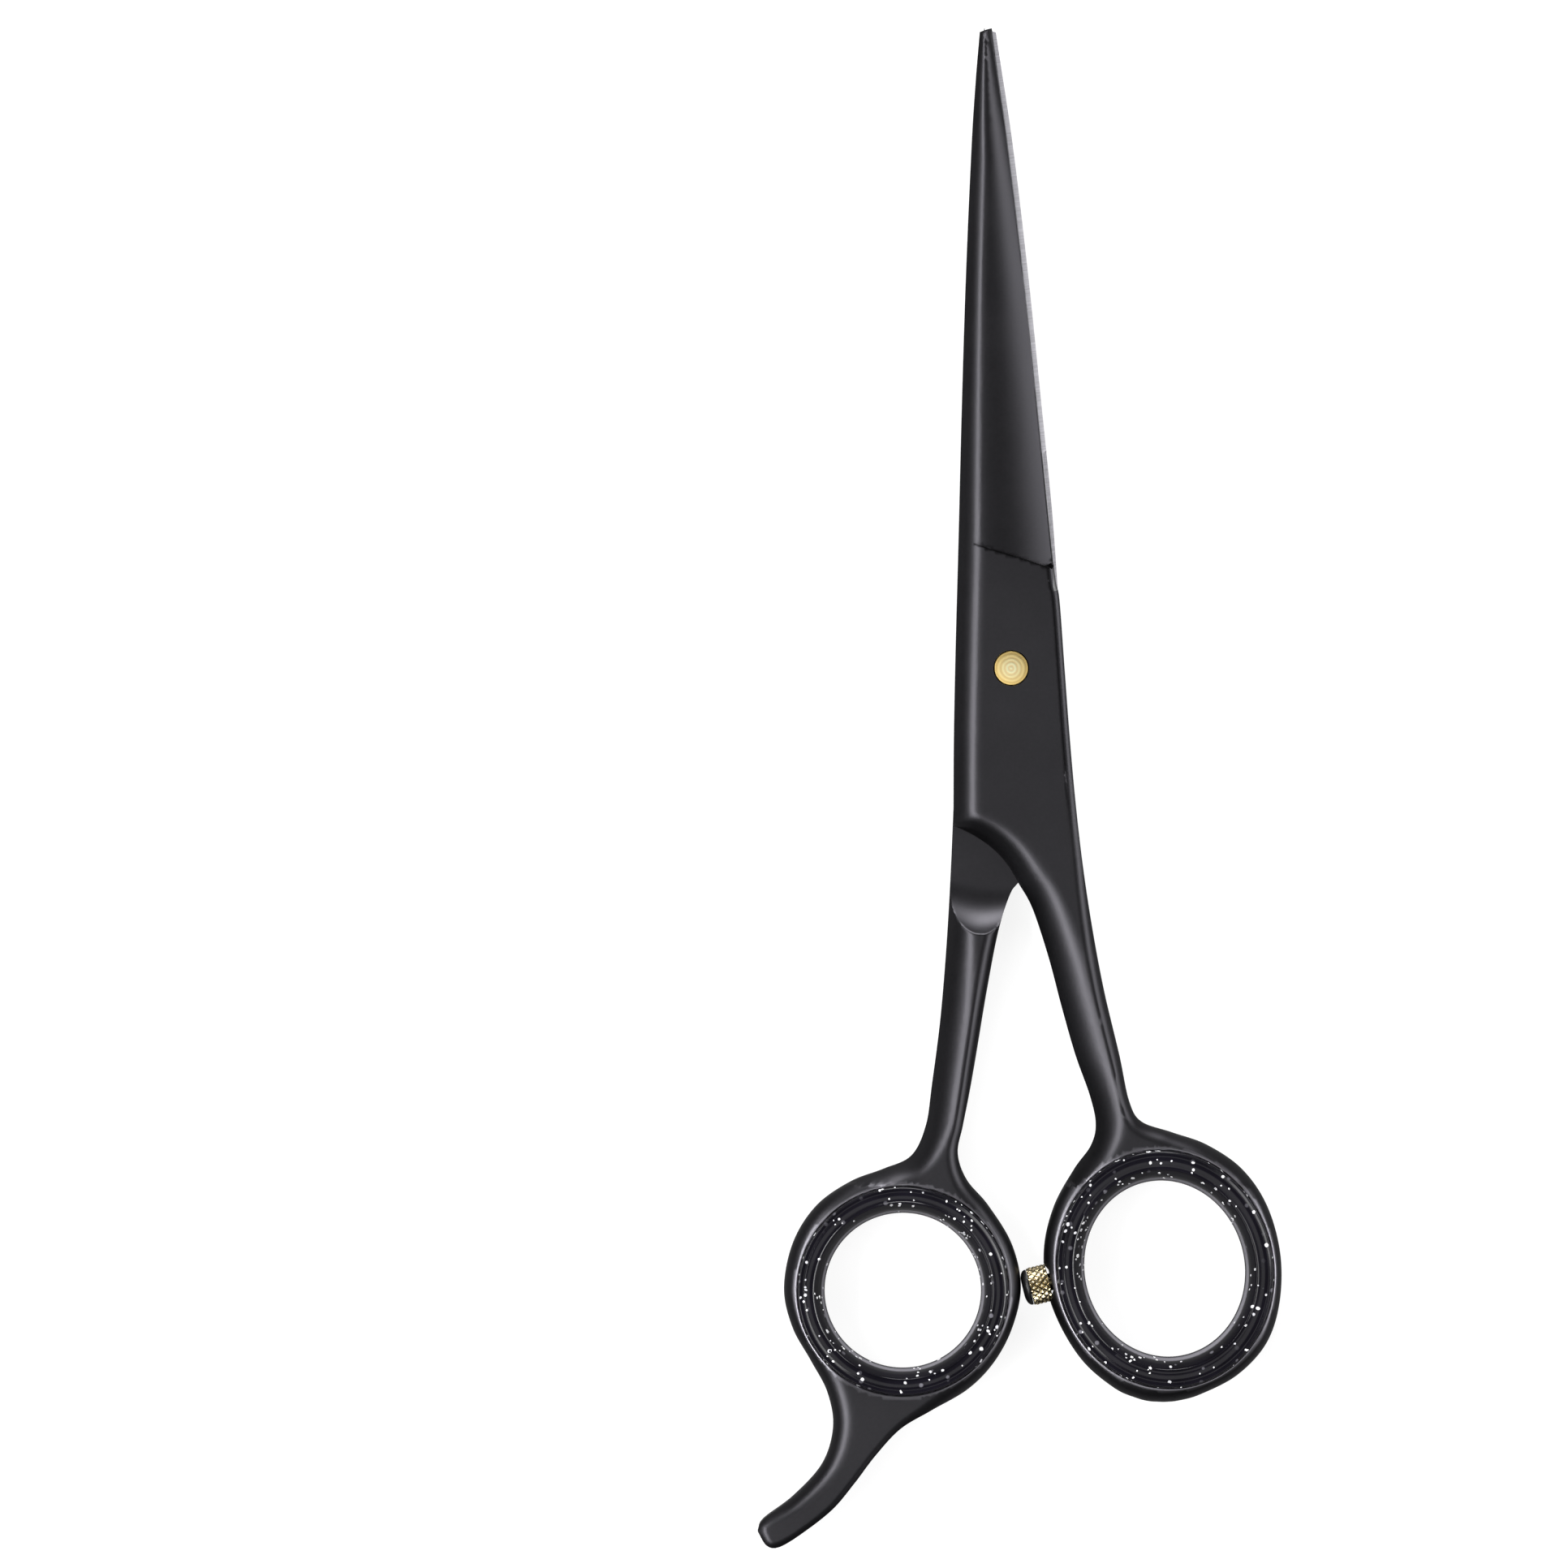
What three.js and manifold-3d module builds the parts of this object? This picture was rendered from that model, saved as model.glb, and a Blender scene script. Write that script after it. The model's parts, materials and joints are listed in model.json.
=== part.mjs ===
// Hair cutting shears, closed and lying flat. Millimetres, +Z up, +Y towards the tips.
//
// Each half is one forging: blade, boss, shank and finger ring. Both are made by the same
// steps in a frame of their own: the pivot at the origin, the ride face near z = 0, the outer
// face at +z and the spine on the -x side. The finger half, which also carries the finger
// rest, is then turned half a turn about Y, so that the two ride faces meet.

import * as THREE from 'three';
import { mergeVertices } from 'three/addons/utils/BufferGeometryUtils.js';
import Module from 'manifold-3d';

const wasm = await Module();
wasm.setup();

// ---------- driving dimensions ----------

const FACE = 2.75; // outer face of the boss, shank and ring, from the ride plane
const RIDE_GAP = 0.1; // from the ride plane to each ride face
const EDGE_ROUNDING = 0.8;
const ROUNDING_STEPS = 2;
const OUTLINE_STEPS = 2;
const ROUND_STEPS = 40;

const RIDGE_HEIGHT_TIP = 1.4;
const EDGE_THICKNESS = 0.15;
const SPINE_BEVEL = 2.0;
const SPINE_BEVEL_TIP = 0.5;
const FACE_SHARES = [0, 0.3, 0.55, 0.8, 1]; // across the outer face, from the ridge to the edge
const HEEL_Y = 14;
const TIP_Y = 77;

const RELIEF_START = 26.4; // radius at which the ride face curves out into the full shank
const RELIEF_RUN = 5.8;
const RELIEF_STEPS = 5;

const SCREW_RADIUS = 2.05;
const SCREW_HOLE_RADIUS = 2.15;
const HEAD_RADIUS = 4.5;
const HEAD_THICKNESS = 1.4;
const SLOT_WIDTH = 1.0;
const SLOT_DEPTH = 0.7;
const HEAD_RECESS_RADIUS = 4.9;
const HEAD_RECESS_FLOOR = -1.55;
const BUSHING_HOLE_RADIUS = 3.0;
const STACK_GAP = 0.05; // between the parts stacked under the screw head

const SEAT_RADIUS = 12.85;
const RING_BORE_RADIUS = 11.35;
const SEAT_DEPTH = 0.7;
const INSERT_HEIGHT = 7.5;
const INSERT_HOLE_RADIUS = 9.45;
const INSERT_FLANGE_RADIUS = 12.7;
const INSERT_NECK_RADIUS = 11.2;

const FINGER_RING = { x: -13.0, y: -74.8, across: 1.0, along: 0.99, turn: 0 };
const THUMB_RING = { x: 18.5, y: -72.2, across: 1.023, along: 1.132, turn: 0.23 };

const BUMPER = { x: 4.59, y: -73.84, heading: Math.PI + 0.242 };
const BARREL_RADIUS = 2.3;
const BARREL_LENGTH = 2.35;
const BARREL_RECESS_RADIUS = 2.45;
const BUMPER_TRAVEL = 0.225; // half a turn of a 0.45 mm thread
const STUD_RADIUS = 1.05;
const STUD_HOLE_RADIUS = 1.15;
const STUD_LENGTH = 1.75;
const TIP_RADIUS = 2.15;
const TIP_LENGTH = 0.85;
const TIP_ROUNDING = 1.3; // across the axis
const TIP_CROWN = 0.7; // along the axis
const TIP_STEM_RADIUS = 0.9;
const TIP_STEM_HOLE_RADIUS = 1.0;
const TIP_STEM_LENGTH = 1.2;

// ---------- outlines, [x, y] in each half's own frame ----------

const thumbLines = {
  spine: [[-6.6, 2], [-6.3, 16], [-5.9, 31.6], [-5.4, 47.2], [-4.7, 62.8], [-3.76, 76.5]],
  edge: [[5.6, 9], [4.74, 16], [3.17, 31.6], [1.5, 47.2], [-0.34, 62.8], [-2.29, 77]],
  heel: [[5.1, 12.3], [-1.9, 14.1], [-6.34, 15]],
  corner: [-6.7, -18.9],
  handle: [
    [5.8, 8.2], [6.4, 0.3], [6.9, -7.5], [7.7, -15.3], [8.5, -23.1], [9.7, -30.9], [11.2, -38.7],
    [13, -46.5], [14.2, -52], [15.9, -54.6], [19.4, -55.8], [23.6, -57.3], [27.8, -60.2],
    [30.8, -64.6], [32.4, -70.4], [32.3, -76.3], [30.6, -81.2], [27.2, -85], [22.6, -87.4],
    [17.4, -88.1], [12.4, -86.5], [8.7, -83.3], [6, -79.2], [4.3, -74.5], [4, -69.5], [5.2, -64.6],
    [7.6, -60.2], [9.6, -57.4], [10.2, -54.8], [9.4, -51.4], [7.7, -46.5], [6.1, -40.7],
    [4.6, -34.8], [2.6, -28.9], [0.88, -25.8], [-0.7, -23.3], [-3.3, -20.8],
  ],
};

const fingerLines = {
  spine: [[-5.9, 7], [-5.2, 16], [-3.7, 31.6], [-2.1, 47.2], [-0.25, 62.8], [1.8, 76.5]],
  edge: [[5.9, 9], [5.7, 16], [5.25, 31.6], [4.75, 47.2], [4.1, 62.8], [3.25, 77]],
  heel: [[5.8, 12], [1.9, 13.8], [-5.3, 14.8]],
  corner: [-6.6, -18.5],
  handle: [
    [6, 5], [6.3, -4], [6.7, -12], [7, -19.2], [7.4, -27], [7.9, -34.8], [8.5, -42.6],
    [9.6, -50.4], [10.3, -55], [12, -58.6], [15.4, -60.2], [19.3, -61.7], [23.4, -64.6],
    [26.2, -69], [27.3, -74.5], [26.3, -79.2], [24.1, -83.2], [22.1, -87], [21.4, -91.2],
    [22.7, -95.6], [26.2, -99.5], [30.3, -102.5], [30.4, -103.6], [29.3, -105.4], [28.2, -105.6],
    [25.2, -104], [21.5, -101.1], [18.8, -97.9], [16.3, -94.6], [13.3, -91.4], [9.6, -89.2],
    [5.2, -86.7], [2, -83.4], [-0.2, -79.2], [-1.2, -74.3], [-0.1, -69.2], [2.7, -64.6],
    [5.3, -61.5], [6.4, -58.3], [5.8, -55], [5, -51], [4.2, -46.5], [2.9, -38.7], [1.5, -31.5],
    [0.1, -27.2], [-0.88, -25.8], [-2.6, -23.6], [-4.6, -20.6],
  ],
};

// ---------- materials ----------

function material(color, roughness, metalness) {
  return new THREE.MeshStandardMaterial({ color, roughness, metalness });
}

const coatedSteel = material(0x323238, 0.42, 0.85);
const brass = material(0xe8c878, 0.28, 1.0);
const springSteel = material(0xb8bcc2, 0.35, 1.0);
const nylon = material(0xe6e2d6, 0.6, 0.0);
const glitterPlastic = material(0x17141d, 0.18, 0.0);
const rubber = material(0x141416, 0.7, 0.0);

// ---------- solids ----------

// A closed geometry as a solid, with its shared vertices merged.
function toSolid(geometry) {
  geometry.deleteAttribute('normal');
  geometry.deleteAttribute('uv');
  const merged = mergeVertices(geometry);
  const corners = merged.index.array;
  const triangles = [];
  for (let i = 0; i < corners.length; i += 3) {
    const [a, b, c] = corners.slice(i, i + 3);
    if (a !== b && b !== c && c !== a) {
      triangles.push(a, b, c);
    }
  }
  const mesh = new wasm.Mesh({
    numProp: 3,
    vertProperties: merged.attributes.position.array,
    triVerts: new Uint32Array(triangles),
  });
  return new wasm.Manifold(mesh);
}

function toGeometry(solid) {
  const { vertProperties, triVerts } = solid.getMesh();
  const geometry = new THREE.BufferGeometry();
  geometry.setAttribute('position', new THREE.BufferAttribute(vertProperties, 3));
  geometry.setIndex(new THREE.BufferAttribute(triVerts, 1));
  geometry.computeVertexNormals();
  return geometry;
}

// Turns a closed [radius, height] profile about Z. It runs up the outside and down the inside.
function turned(profile, steps = ROUND_STEPS) {
  const points = profile.map(([radius, height]) => new THREE.Vector2(radius, height));
  points.push(points[0].clone());
  return new THREE.LatheGeometry(points, steps).rotateX(Math.PI / 2);
}

// A cylinder about Z from one height to another.
function rod(radius, low, high, steps = ROUND_STEPS) {
  const geometry = new THREE.CylinderGeometry(radius, radius, high - low, steps);
  return geometry.rotateX(Math.PI / 2).translate(0, 0, (low + high) / 2);
}

// A closed skin over sections that all have the same number of corners.
function lofted(sections) {
  const count = sections[0].length;
  const last = sections.length - 1;
  const index = [];
  for (let s = 0; s < last; s += 1) {
    for (let i = 0; i < count; i += 1) {
      const a = s * count + i;
      const b = s * count + ((i + 1) % count);
      index.push(a, b, b + count, a, b + count, a + count);
    }
  }
  for (let i = 1; i < count - 1; i += 1) {
    index.push(0, i + 1, i);
    index.push(last * count, last * count + i, last * count + i + 1);
  }
  const geometry = new THREE.BufferGeometry();
  geometry.setAttribute('position', new THREE.Float32BufferAttribute(sections.flat(2), 3));
  geometry.setIndex(index);
  return geometry;
}

// ---------- the two halves ----------

// One blade: flat ride face, convex outer face and steep bevel along the spine.
function blade(lines) {
  const sections = lines.spine.map(([spineX, spineY], i) => {
    const [edgeX, edgeY] = lines.edge[i];
    const along = THREE.MathUtils.clamp((spineY - HEEL_Y) / (TIP_Y - HEEL_Y), 0, 1);
    const ridge = THREE.MathUtils.lerp(FACE, RIDGE_HEIGHT_TIP, along);
    const bevel = THREE.MathUtils.lerp(SPINE_BEVEL, SPINE_BEVEL_TIP, along);
    const lip = RIDE_GAP + EDGE_THICKNESS;
    const across = (t, height) => [
      THREE.MathUtils.lerp(spineX + bevel, edgeX, t),
      THREE.MathUtils.lerp(spineY, edgeY, t),
      height,
    ];
    const face = FACE_SHARES.map((t) => across(t, ridge - (ridge - lip) * t * t));
    return [
      [spineX, spineY, RIDE_GAP],
      [spineX, spineY, ridge - bevel],
      ...face,
      across(1, RIDE_GAP),
    ];
  });
  return toSolid(lofted(sections));
}

// Boss, shank and ring as one plate with rounded edges.
function handlePlate(lines) {
  const outline = new THREE.Shape();
  outline.moveTo(...lines.heel[0]);
  const points = [...lines.handle, lines.corner];
  outline.splineThru(points.map(([x, y]) => new THREE.Vector2(x, y)));
  outline.lineTo(...lines.heel[2]);
  outline.lineTo(...lines.heel[1]);
  outline.closePath();
  const plate = new THREE.ExtrudeGeometry(outline, {
    depth: 2 * (FACE - EDGE_ROUNDING),
    bevelThickness: EDGE_ROUNDING,
    bevelSize: EDGE_ROUNDING,
    bevelOffset: -EDGE_ROUNDING,
    bevelSegments: ROUNDING_STEPS,
    curveSegments: OUTLINE_STEPS,
  });
  return toSolid(plate.translate(0, 0, EDGE_ROUNDING - FACE));
}

// What the other half sweeps: flat at the ride face, then curving out through the shank.
function relief() {
  const rise = FACE + RIDE_GAP;
  const arcRadius = (RELIEF_RUN ** 2 + rise ** 2) / (2 * rise);
  const end = RELIEF_START + RELIEF_RUN;
  const profile = [[0, -FACE - 1], [end, -FACE - 1]];
  for (let i = RELIEF_STEPS; i >= 0; i -= 1) {
    const out = (i / RELIEF_STEPS) * RELIEF_RUN;
    profile.push([
      RELIEF_START + out,
      RIDE_GAP - arcRadius + Math.sqrt(arcRadius ** 2 - out ** 2),
    ]);
  }
  profile.push([0, RIDE_GAP]);
  return toSolid(turned(profile));
}

// The bar that grinds the spine bevel off the boss, in line with the blade's own bevel.
function bossBevel(lines) {
  const [topX, topY] = lines.heel[2];
  const [cornerX, cornerY] = lines.corner;
  const size = 2 * SPINE_BEVEL;
  const inset = SPINE_BEVEL / 2 - (size * Math.SQRT1_2) / 2;
  const bar = new THREE.BoxGeometry(size, topY - cornerY + 8, size).rotateY(Math.PI / 4);
  bar.rotateZ(Math.atan2(cornerX - topX, topY - cornerY));
  return toSolid(bar.translate((topX + cornerX) / 2 + inset, (topY + cornerY) / 2, FACE - inset));
}

// Places a shape turned about Z in a finger ring's slightly oval seat.
function inRing(geometry, ring) {
  return geometry.scale(ring.across, ring.along, 1).rotateZ(ring.turn).translate(ring.x, ring.y, 0);
}

function ringSeat(ring) {
  const shelf = FACE - SEAT_DEPTH;
  const profile = [
    [0, -FACE - 1], [SEAT_RADIUS, -FACE - 1], [SEAT_RADIUS, -shelf], [RING_BORE_RADIUS, -shelf],
    [RING_BORE_RADIUS, shelf], [SEAT_RADIUS, shelf], [SEAT_RADIUS, FACE + 1], [0, FACE + 1],
  ];
  return toSolid(inRing(turned(profile), ring));
}

// One half without its bores: blade and plate joined, then relieved along the ride plane.
function halfBlank(lines, ring) {
  const plate = handlePlate(lines).subtract(relief()).subtract(bossBevel(lines));
  return plate.add(blade(lines)).subtract(ringSeat(ring));
}

function thumbHalf() {
  const screwHole = toSolid(rod(SCREW_HOLE_RADIUS, -1, FACE + 1));
  const recess = rod(BARREL_RECESS_RADIUS, -BUMPER_TRAVEL - 0.075, 3);
  const studHole = rod(STUD_HOLE_RADIUS, -3.2, 0, 16);
  return halfBlank(thumbLines, THUMB_RING)
    .subtract(screwHole)
    .subtract(toSolid(onBumperAxis(recess)))
    .subtract(toSolid(onBumperAxis(studHole)));
}

function fingerHalf() {
  const ring = { ...FINGER_RING, x: -FINGER_RING.x, turn: -FINGER_RING.turn };
  const bushingHole = toSolid(rod(BUSHING_HOLE_RADIUS, -1, FACE + 1));
  const headRecess = toSolid(rod(HEAD_RECESS_RADIUS, -HEAD_RECESS_FLOOR, FACE + 1));
  return halfBlank(fingerLines, ring).subtract(bushingHole).subtract(headRecess);
}

// ---------- pivot ----------

const bushingFlange = { low: HEAD_RECESS_FLOOR - STACK_GAP - 0.35, high: HEAD_RECESS_FLOOR - STACK_GAP };
const washerLow = bushingFlange.low - STACK_GAP - 0.3;
const headHigh = washerLow - STACK_GAP;
const headLow = headHigh - HEAD_THICKNESS;

function pivotScrew() {
  const chamfer = 0.25;
  const blank = toSolid(turned([
    [0, headLow], [HEAD_RADIUS - chamfer, headLow], [HEAD_RADIUS, headLow + chamfer],
    [HEAD_RADIUS, headHigh], [SCREW_RADIUS, headHigh], [SCREW_RADIUS, FACE - 0.05],
    [SCREW_RADIUS - 0.15, FACE + 0.05], [0, FACE + 0.1],
  ]));
  const slot = new THREE.BoxGeometry(SLOT_WIDTH, 3 * HEAD_RADIUS, 2 * SLOT_DEPTH);
  return blank.subtract(toSolid(slot.translate(0, 0, headLow)));
}

// A shallow cone washer that keeps the blades pressed together.
function tensionWasher() {
  return toSolid(turned([
    [HEAD_RADIUS - 0.2, washerLow], [HEAD_RADIUS - 0.2, washerLow + 0.15],
    [SCREW_RADIUS + 0.25, washerLow + 0.3], [SCREW_RADIUS + 0.25, washerLow + 0.15],
  ]));
}

function pivotBushing() {
  const inner = SCREW_RADIUS + 0.1;
  const outer = BUSHING_HOLE_RADIUS - 0.1;
  return toSolid(turned([
    [inner, bushingFlange.low], [HEAD_RADIUS, bushingFlange.low], [HEAD_RADIUS, bushingFlange.high],
    [outer, bushingFlange.high], [outer, -RIDE_GAP], [inner, -RIDE_GAP],
  ]));
}

// ---------- ring inserts ----------

function ringInsert(ring) {
  const face = INSERT_HEIGHT / 2;
  const under = FACE - SEAT_DEPTH + 0.1;
  const upper = [
    [INSERT_NECK_RADIUS, under], [INSERT_FLANGE_RADIUS, under], [INSERT_FLANGE_RADIUS, face - 0.4],
    [INSERT_FLANGE_RADIUS - 0.4, face], [INSERT_HOLE_RADIUS + 1.15, face],
    [INSERT_HOLE_RADIUS + 0.45, face - 0.75], [INSERT_HOLE_RADIUS, face - 2.1],
  ];
  const lower = upper.map(([radius, height]) => [radius, -height]).reverse();
  return toSolid(inRing(turned([...lower, ...upper]), ring));
}

// ---------- closing bumper ----------

// Moves a shape made about Z so that its +z points from the thumb ring to the finger ring.
function onBumperAxis(geometry) {
  return geometry.rotateY(Math.PI / 2).rotateZ(BUMPER.heading).translate(BUMPER.x, BUMPER.y, 0);
}

function bumperBarrel() {
  const chamfer = 0.2;
  return toSolid(onBumperAxis(turned([
    [0, -STUD_LENGTH], [STUD_RADIUS, -STUD_LENGTH], [STUD_RADIUS, 0], [BARREL_RADIUS - chamfer, 0],
    [BARREL_RADIUS, chamfer], [BARREL_RADIUS, BARREL_LENGTH - chamfer],
    [BARREL_RADIUS - chamfer, BARREL_LENGTH], [TIP_STEM_HOLE_RADIUS, BARREL_LENGTH],
    [TIP_STEM_HOLE_RADIUS, BARREL_LENGTH - TIP_STEM_LENGTH - 0.1],
    [0, BARREL_LENGTH - TIP_STEM_LENGTH - 0.1],
  ], 24)));
}

function bumperTip() {
  const low = BARREL_LENGTH + STACK_GAP;
  const high = low + TIP_LENGTH;
  const profile = [
    [0, BARREL_LENGTH - TIP_STEM_LENGTH], [TIP_STEM_RADIUS, BARREL_LENGTH - TIP_STEM_LENGTH],
    [TIP_STEM_RADIUS, low], [TIP_RADIUS, low],
  ];
  for (let i = 0; i <= 3; i += 1) {
    const turn = (i / 3) * (Math.PI / 2);
    profile.push([
      TIP_RADIUS - TIP_ROUNDING * (1 - Math.cos(turn)),
      high - TIP_CROWN * (1 - Math.sin(turn)),
    ]);
  }
  profile.push([0, high]);
  return toSolid(onBumperAxis(turned(profile, 24)));
}

// ---------- assembly ----------

const shears = new THREE.Group();

function addPiece(name, solid, surface) {
  const mesh = new THREE.Mesh(toGeometry(solid), surface);
  mesh.name = name;
  shears.add(mesh);
  return mesh;
}

addPiece('thumb_half', thumbHalf(), coatedSteel.clone());
addPiece('finger_half', fingerHalf(), coatedSteel.clone()).rotation.y = Math.PI;
addPiece('pivot_screw', pivotScrew(), brass.clone());
addPiece('tension_washer', tensionWasher(), springSteel.clone());
addPiece('pivot_bushing', pivotBushing(), nylon.clone());
addPiece('thumb_insert', ringInsert(THUMB_RING), glitterPlastic.clone());
addPiece('finger_insert', ringInsert(FINGER_RING), glitterPlastic.clone());
addPiece('bumper_barrel', bumperBarrel(), brass.clone());
addPiece('bumper_tip', bumperTip(), rubber.clone());

// The origin is the middle of the surface that the shears lie on.
const box = new THREE.Box3().setFromObject(shears);
const middle = box.getCenter(new THREE.Vector3());
shears.position.set(-middle.x, -middle.y, -box.min.z);

export default shears;
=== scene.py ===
"""Hair cutting shears: the finished pieces and their finishes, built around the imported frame."""
import json
import math

import bmesh
import bpy
import numpy as np
from bpy.props import FloatProperty, FloatVectorProperty, IntProperty, PointerProperty
from mathutils import Matrix, Vector
from mathutils.geometry import delaunay_2d_cdt


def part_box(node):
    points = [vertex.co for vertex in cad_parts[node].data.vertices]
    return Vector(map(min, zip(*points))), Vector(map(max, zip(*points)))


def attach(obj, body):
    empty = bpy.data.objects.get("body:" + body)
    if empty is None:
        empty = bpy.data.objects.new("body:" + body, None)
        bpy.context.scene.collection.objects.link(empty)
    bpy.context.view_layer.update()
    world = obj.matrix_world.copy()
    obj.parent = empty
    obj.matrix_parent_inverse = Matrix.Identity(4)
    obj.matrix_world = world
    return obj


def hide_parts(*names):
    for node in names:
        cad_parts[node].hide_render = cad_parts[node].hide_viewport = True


bl_info = {
    "name": "Hair Cutting Shears",
    "version": (1, 0, 0),
    "blender": (4, 5, 0),
    "location": "View3D > Sidebar > Shears",
    "description": "Builds a pair of hair cutting shears around its packed frame",
    "category": "Add Mesh",
}

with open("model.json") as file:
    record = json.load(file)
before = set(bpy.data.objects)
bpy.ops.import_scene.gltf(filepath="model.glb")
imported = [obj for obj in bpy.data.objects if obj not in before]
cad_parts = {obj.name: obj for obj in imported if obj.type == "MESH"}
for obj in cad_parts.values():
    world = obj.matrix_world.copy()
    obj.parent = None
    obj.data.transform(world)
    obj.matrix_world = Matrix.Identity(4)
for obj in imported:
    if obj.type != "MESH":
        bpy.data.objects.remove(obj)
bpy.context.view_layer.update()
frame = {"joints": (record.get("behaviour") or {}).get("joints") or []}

MM = 0.001
JOINTS = {joint["name"]: joint for joint in frame["joints"]}
PIVOT = Vector(JOINTS["blade_pivot"]["pos_m"])
BUMPER_FOOT = Vector(JOINTS["bumper_turn"]["pos_m"])
BUMPER_OUT = -Vector(JOINTS["bumper_turn"]["axis"])


# ---------- sizes taken from the frame, in millimetres ----------

def node_size(node):
    low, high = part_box(node)
    return (high - low) / MM


def node_height(node, level):
    """Height of a node's underside (0) or top (1) above the pivot plane."""
    return (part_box(node)[level].z - PIVOT.z) / MM


FACE = node_height("finger_half", 1)
RIDE_GAP = 0.1
INSERT_FACE = node_height("finger_insert", 1)
HEAD_LOW = node_height("pivot_screw", 0)
HEAD_RADIUS = node_size("pivot_screw").x / 2
WASHER_LOW = node_height("tension_washer", 0)
WASHER_RADIUS = node_size("tension_washer").x / 2
BUSHING_LOW = node_height("pivot_bushing", 0)
BUSHING_RADIUS = node_size("pivot_bushing").x / 2

SCREW_RADIUS = 2.05
SCREW_HOLE = 2.15
BUSHING_HOLE = 3.0
RECESS_RADIUS = 4.9
RECESS_FLOOR = 1.55
RELIEF_START = 26.4
RELIEF_RUN = 5.8
RELIEF_SIDE = 0.35
TIP_HEIGHT = 1.4
SEAT_RADIUS = 12.7
SEAT_LIP = 0.25
RING_BORE = 11.35
SEAT_SHELF = 2.05
BARREL_RADIUS = 2.3
BARREL_LENGTH = 2.35
BARREL_RECESS = 2.45
STUD_RADIUS = 1.05
STUD_HOLE = 1.15
STUD_LENGTH = 1.75
TIP_RADIUS = 2.15
# Where the painted pale band of light round an insert's bore sits, and how far it reaches.
BORE_LIGHT_RADIUS = 9.65
BORE_LIGHT_REACH = 0.21

ROUND = {"x": 0.0, "y": 0.0, "across": 1.0, "along": 1.0, "turn": 0.0}
FINGER_RING = {"x": -13.0, "y": -74.8, "across": 1.0, "along": 0.99, "turn": 0.0}
THUMB_RING = {"x": 18.5, "y": -72.2, "across": 1.023, "along": 1.132, "turn": 0.23}

# Outlines in each half's own frame: the pivot at the origin, tips towards +y, spine on -x.
# The third number is how far the rounded edge reaches in from the outline there.
THUMB = {
    "spine": [(-6.88, -9), (-6.67, 2), (-6.3, 16), (-5.91, 31.6), (-5.42, 47.2), (-4.74, 62.8),
              (-4.25, 70.6), (-3.76, 76.5)],
    "edge": [(5.12, 12.3), (4.74, 16), (3.95, 23.8), (3.17, 31.6), (1.51, 47.2), (-0.34, 62.8),
             (-1.42, 70.6), (-2.29, 77)],
    "step": [(-4.4, 14.9), (-1.9, 14.1), (1.4, 13.1), (4.6, 12.1), (5.12, 12.3)],
    "outer": [
        (5.12, 12.3, .85), (5.42, 10.1, .9), (5.81, 8.2, .9), (6.4, .3, .9), (6.98, -7.5, .95),
        (7.66, -15.3, 1), (8.54, -23.1, 1.2), (9.71, -30.9, 1.5), (11.18, -38.7, 1.7),
        (13.03, -46.5, 1.7), (14.2, -52, 1.7), (15.7, -54.5, 1.8), (19.38, -55.8, 2), (23.6, -57.3, 2.2),
        (27.8, -60.2, 2.3), (30.8, -64.6, 2.3), (32.4, -70.4, 2.3), (32.3, -76.3, 2.3),
        (30.7, -81.2, 2.3), (27.2, -85, 2.3), (22.8, -87.3, 2.3), (20.2, -88.05, 2.3),
        (18.6, -88.22, 2.3), (17.6, -88.2, 2.3),
    ],
    "inner": [
        (17.6, -88.2, 2.3), (16.6, -88.13, 2.3), (15.1, -87.75, 2.3), (12.5, -86.6, 2.3),
        (8.8, -83.5, 2.3), (6, -79.2, 2.3), (4.3, -74.5, 2.3),
        (4, -69.5, 2.3), (5.2, -64.6, 2.5), (7.6, -60.2, 3), (9.6, -57.4, 3.5), (10.2, -54.8, 4),
        (9.5, -51.4, 4.4), (7.76, -46.5, 4.7), (6.1, -40.7, 4.8), (4.54, -34.8, 4.6),
        (2.6, -28.9, 4.1), (.88, -25.8, 3.7), (-.6, -23.4, 3.4), (-2.3, -21.6, 3.2),
        (-4.4, -20.15, 2.9), (-6.92, -18.9, 2.5),
    ],
    "recess": False,
}
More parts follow.
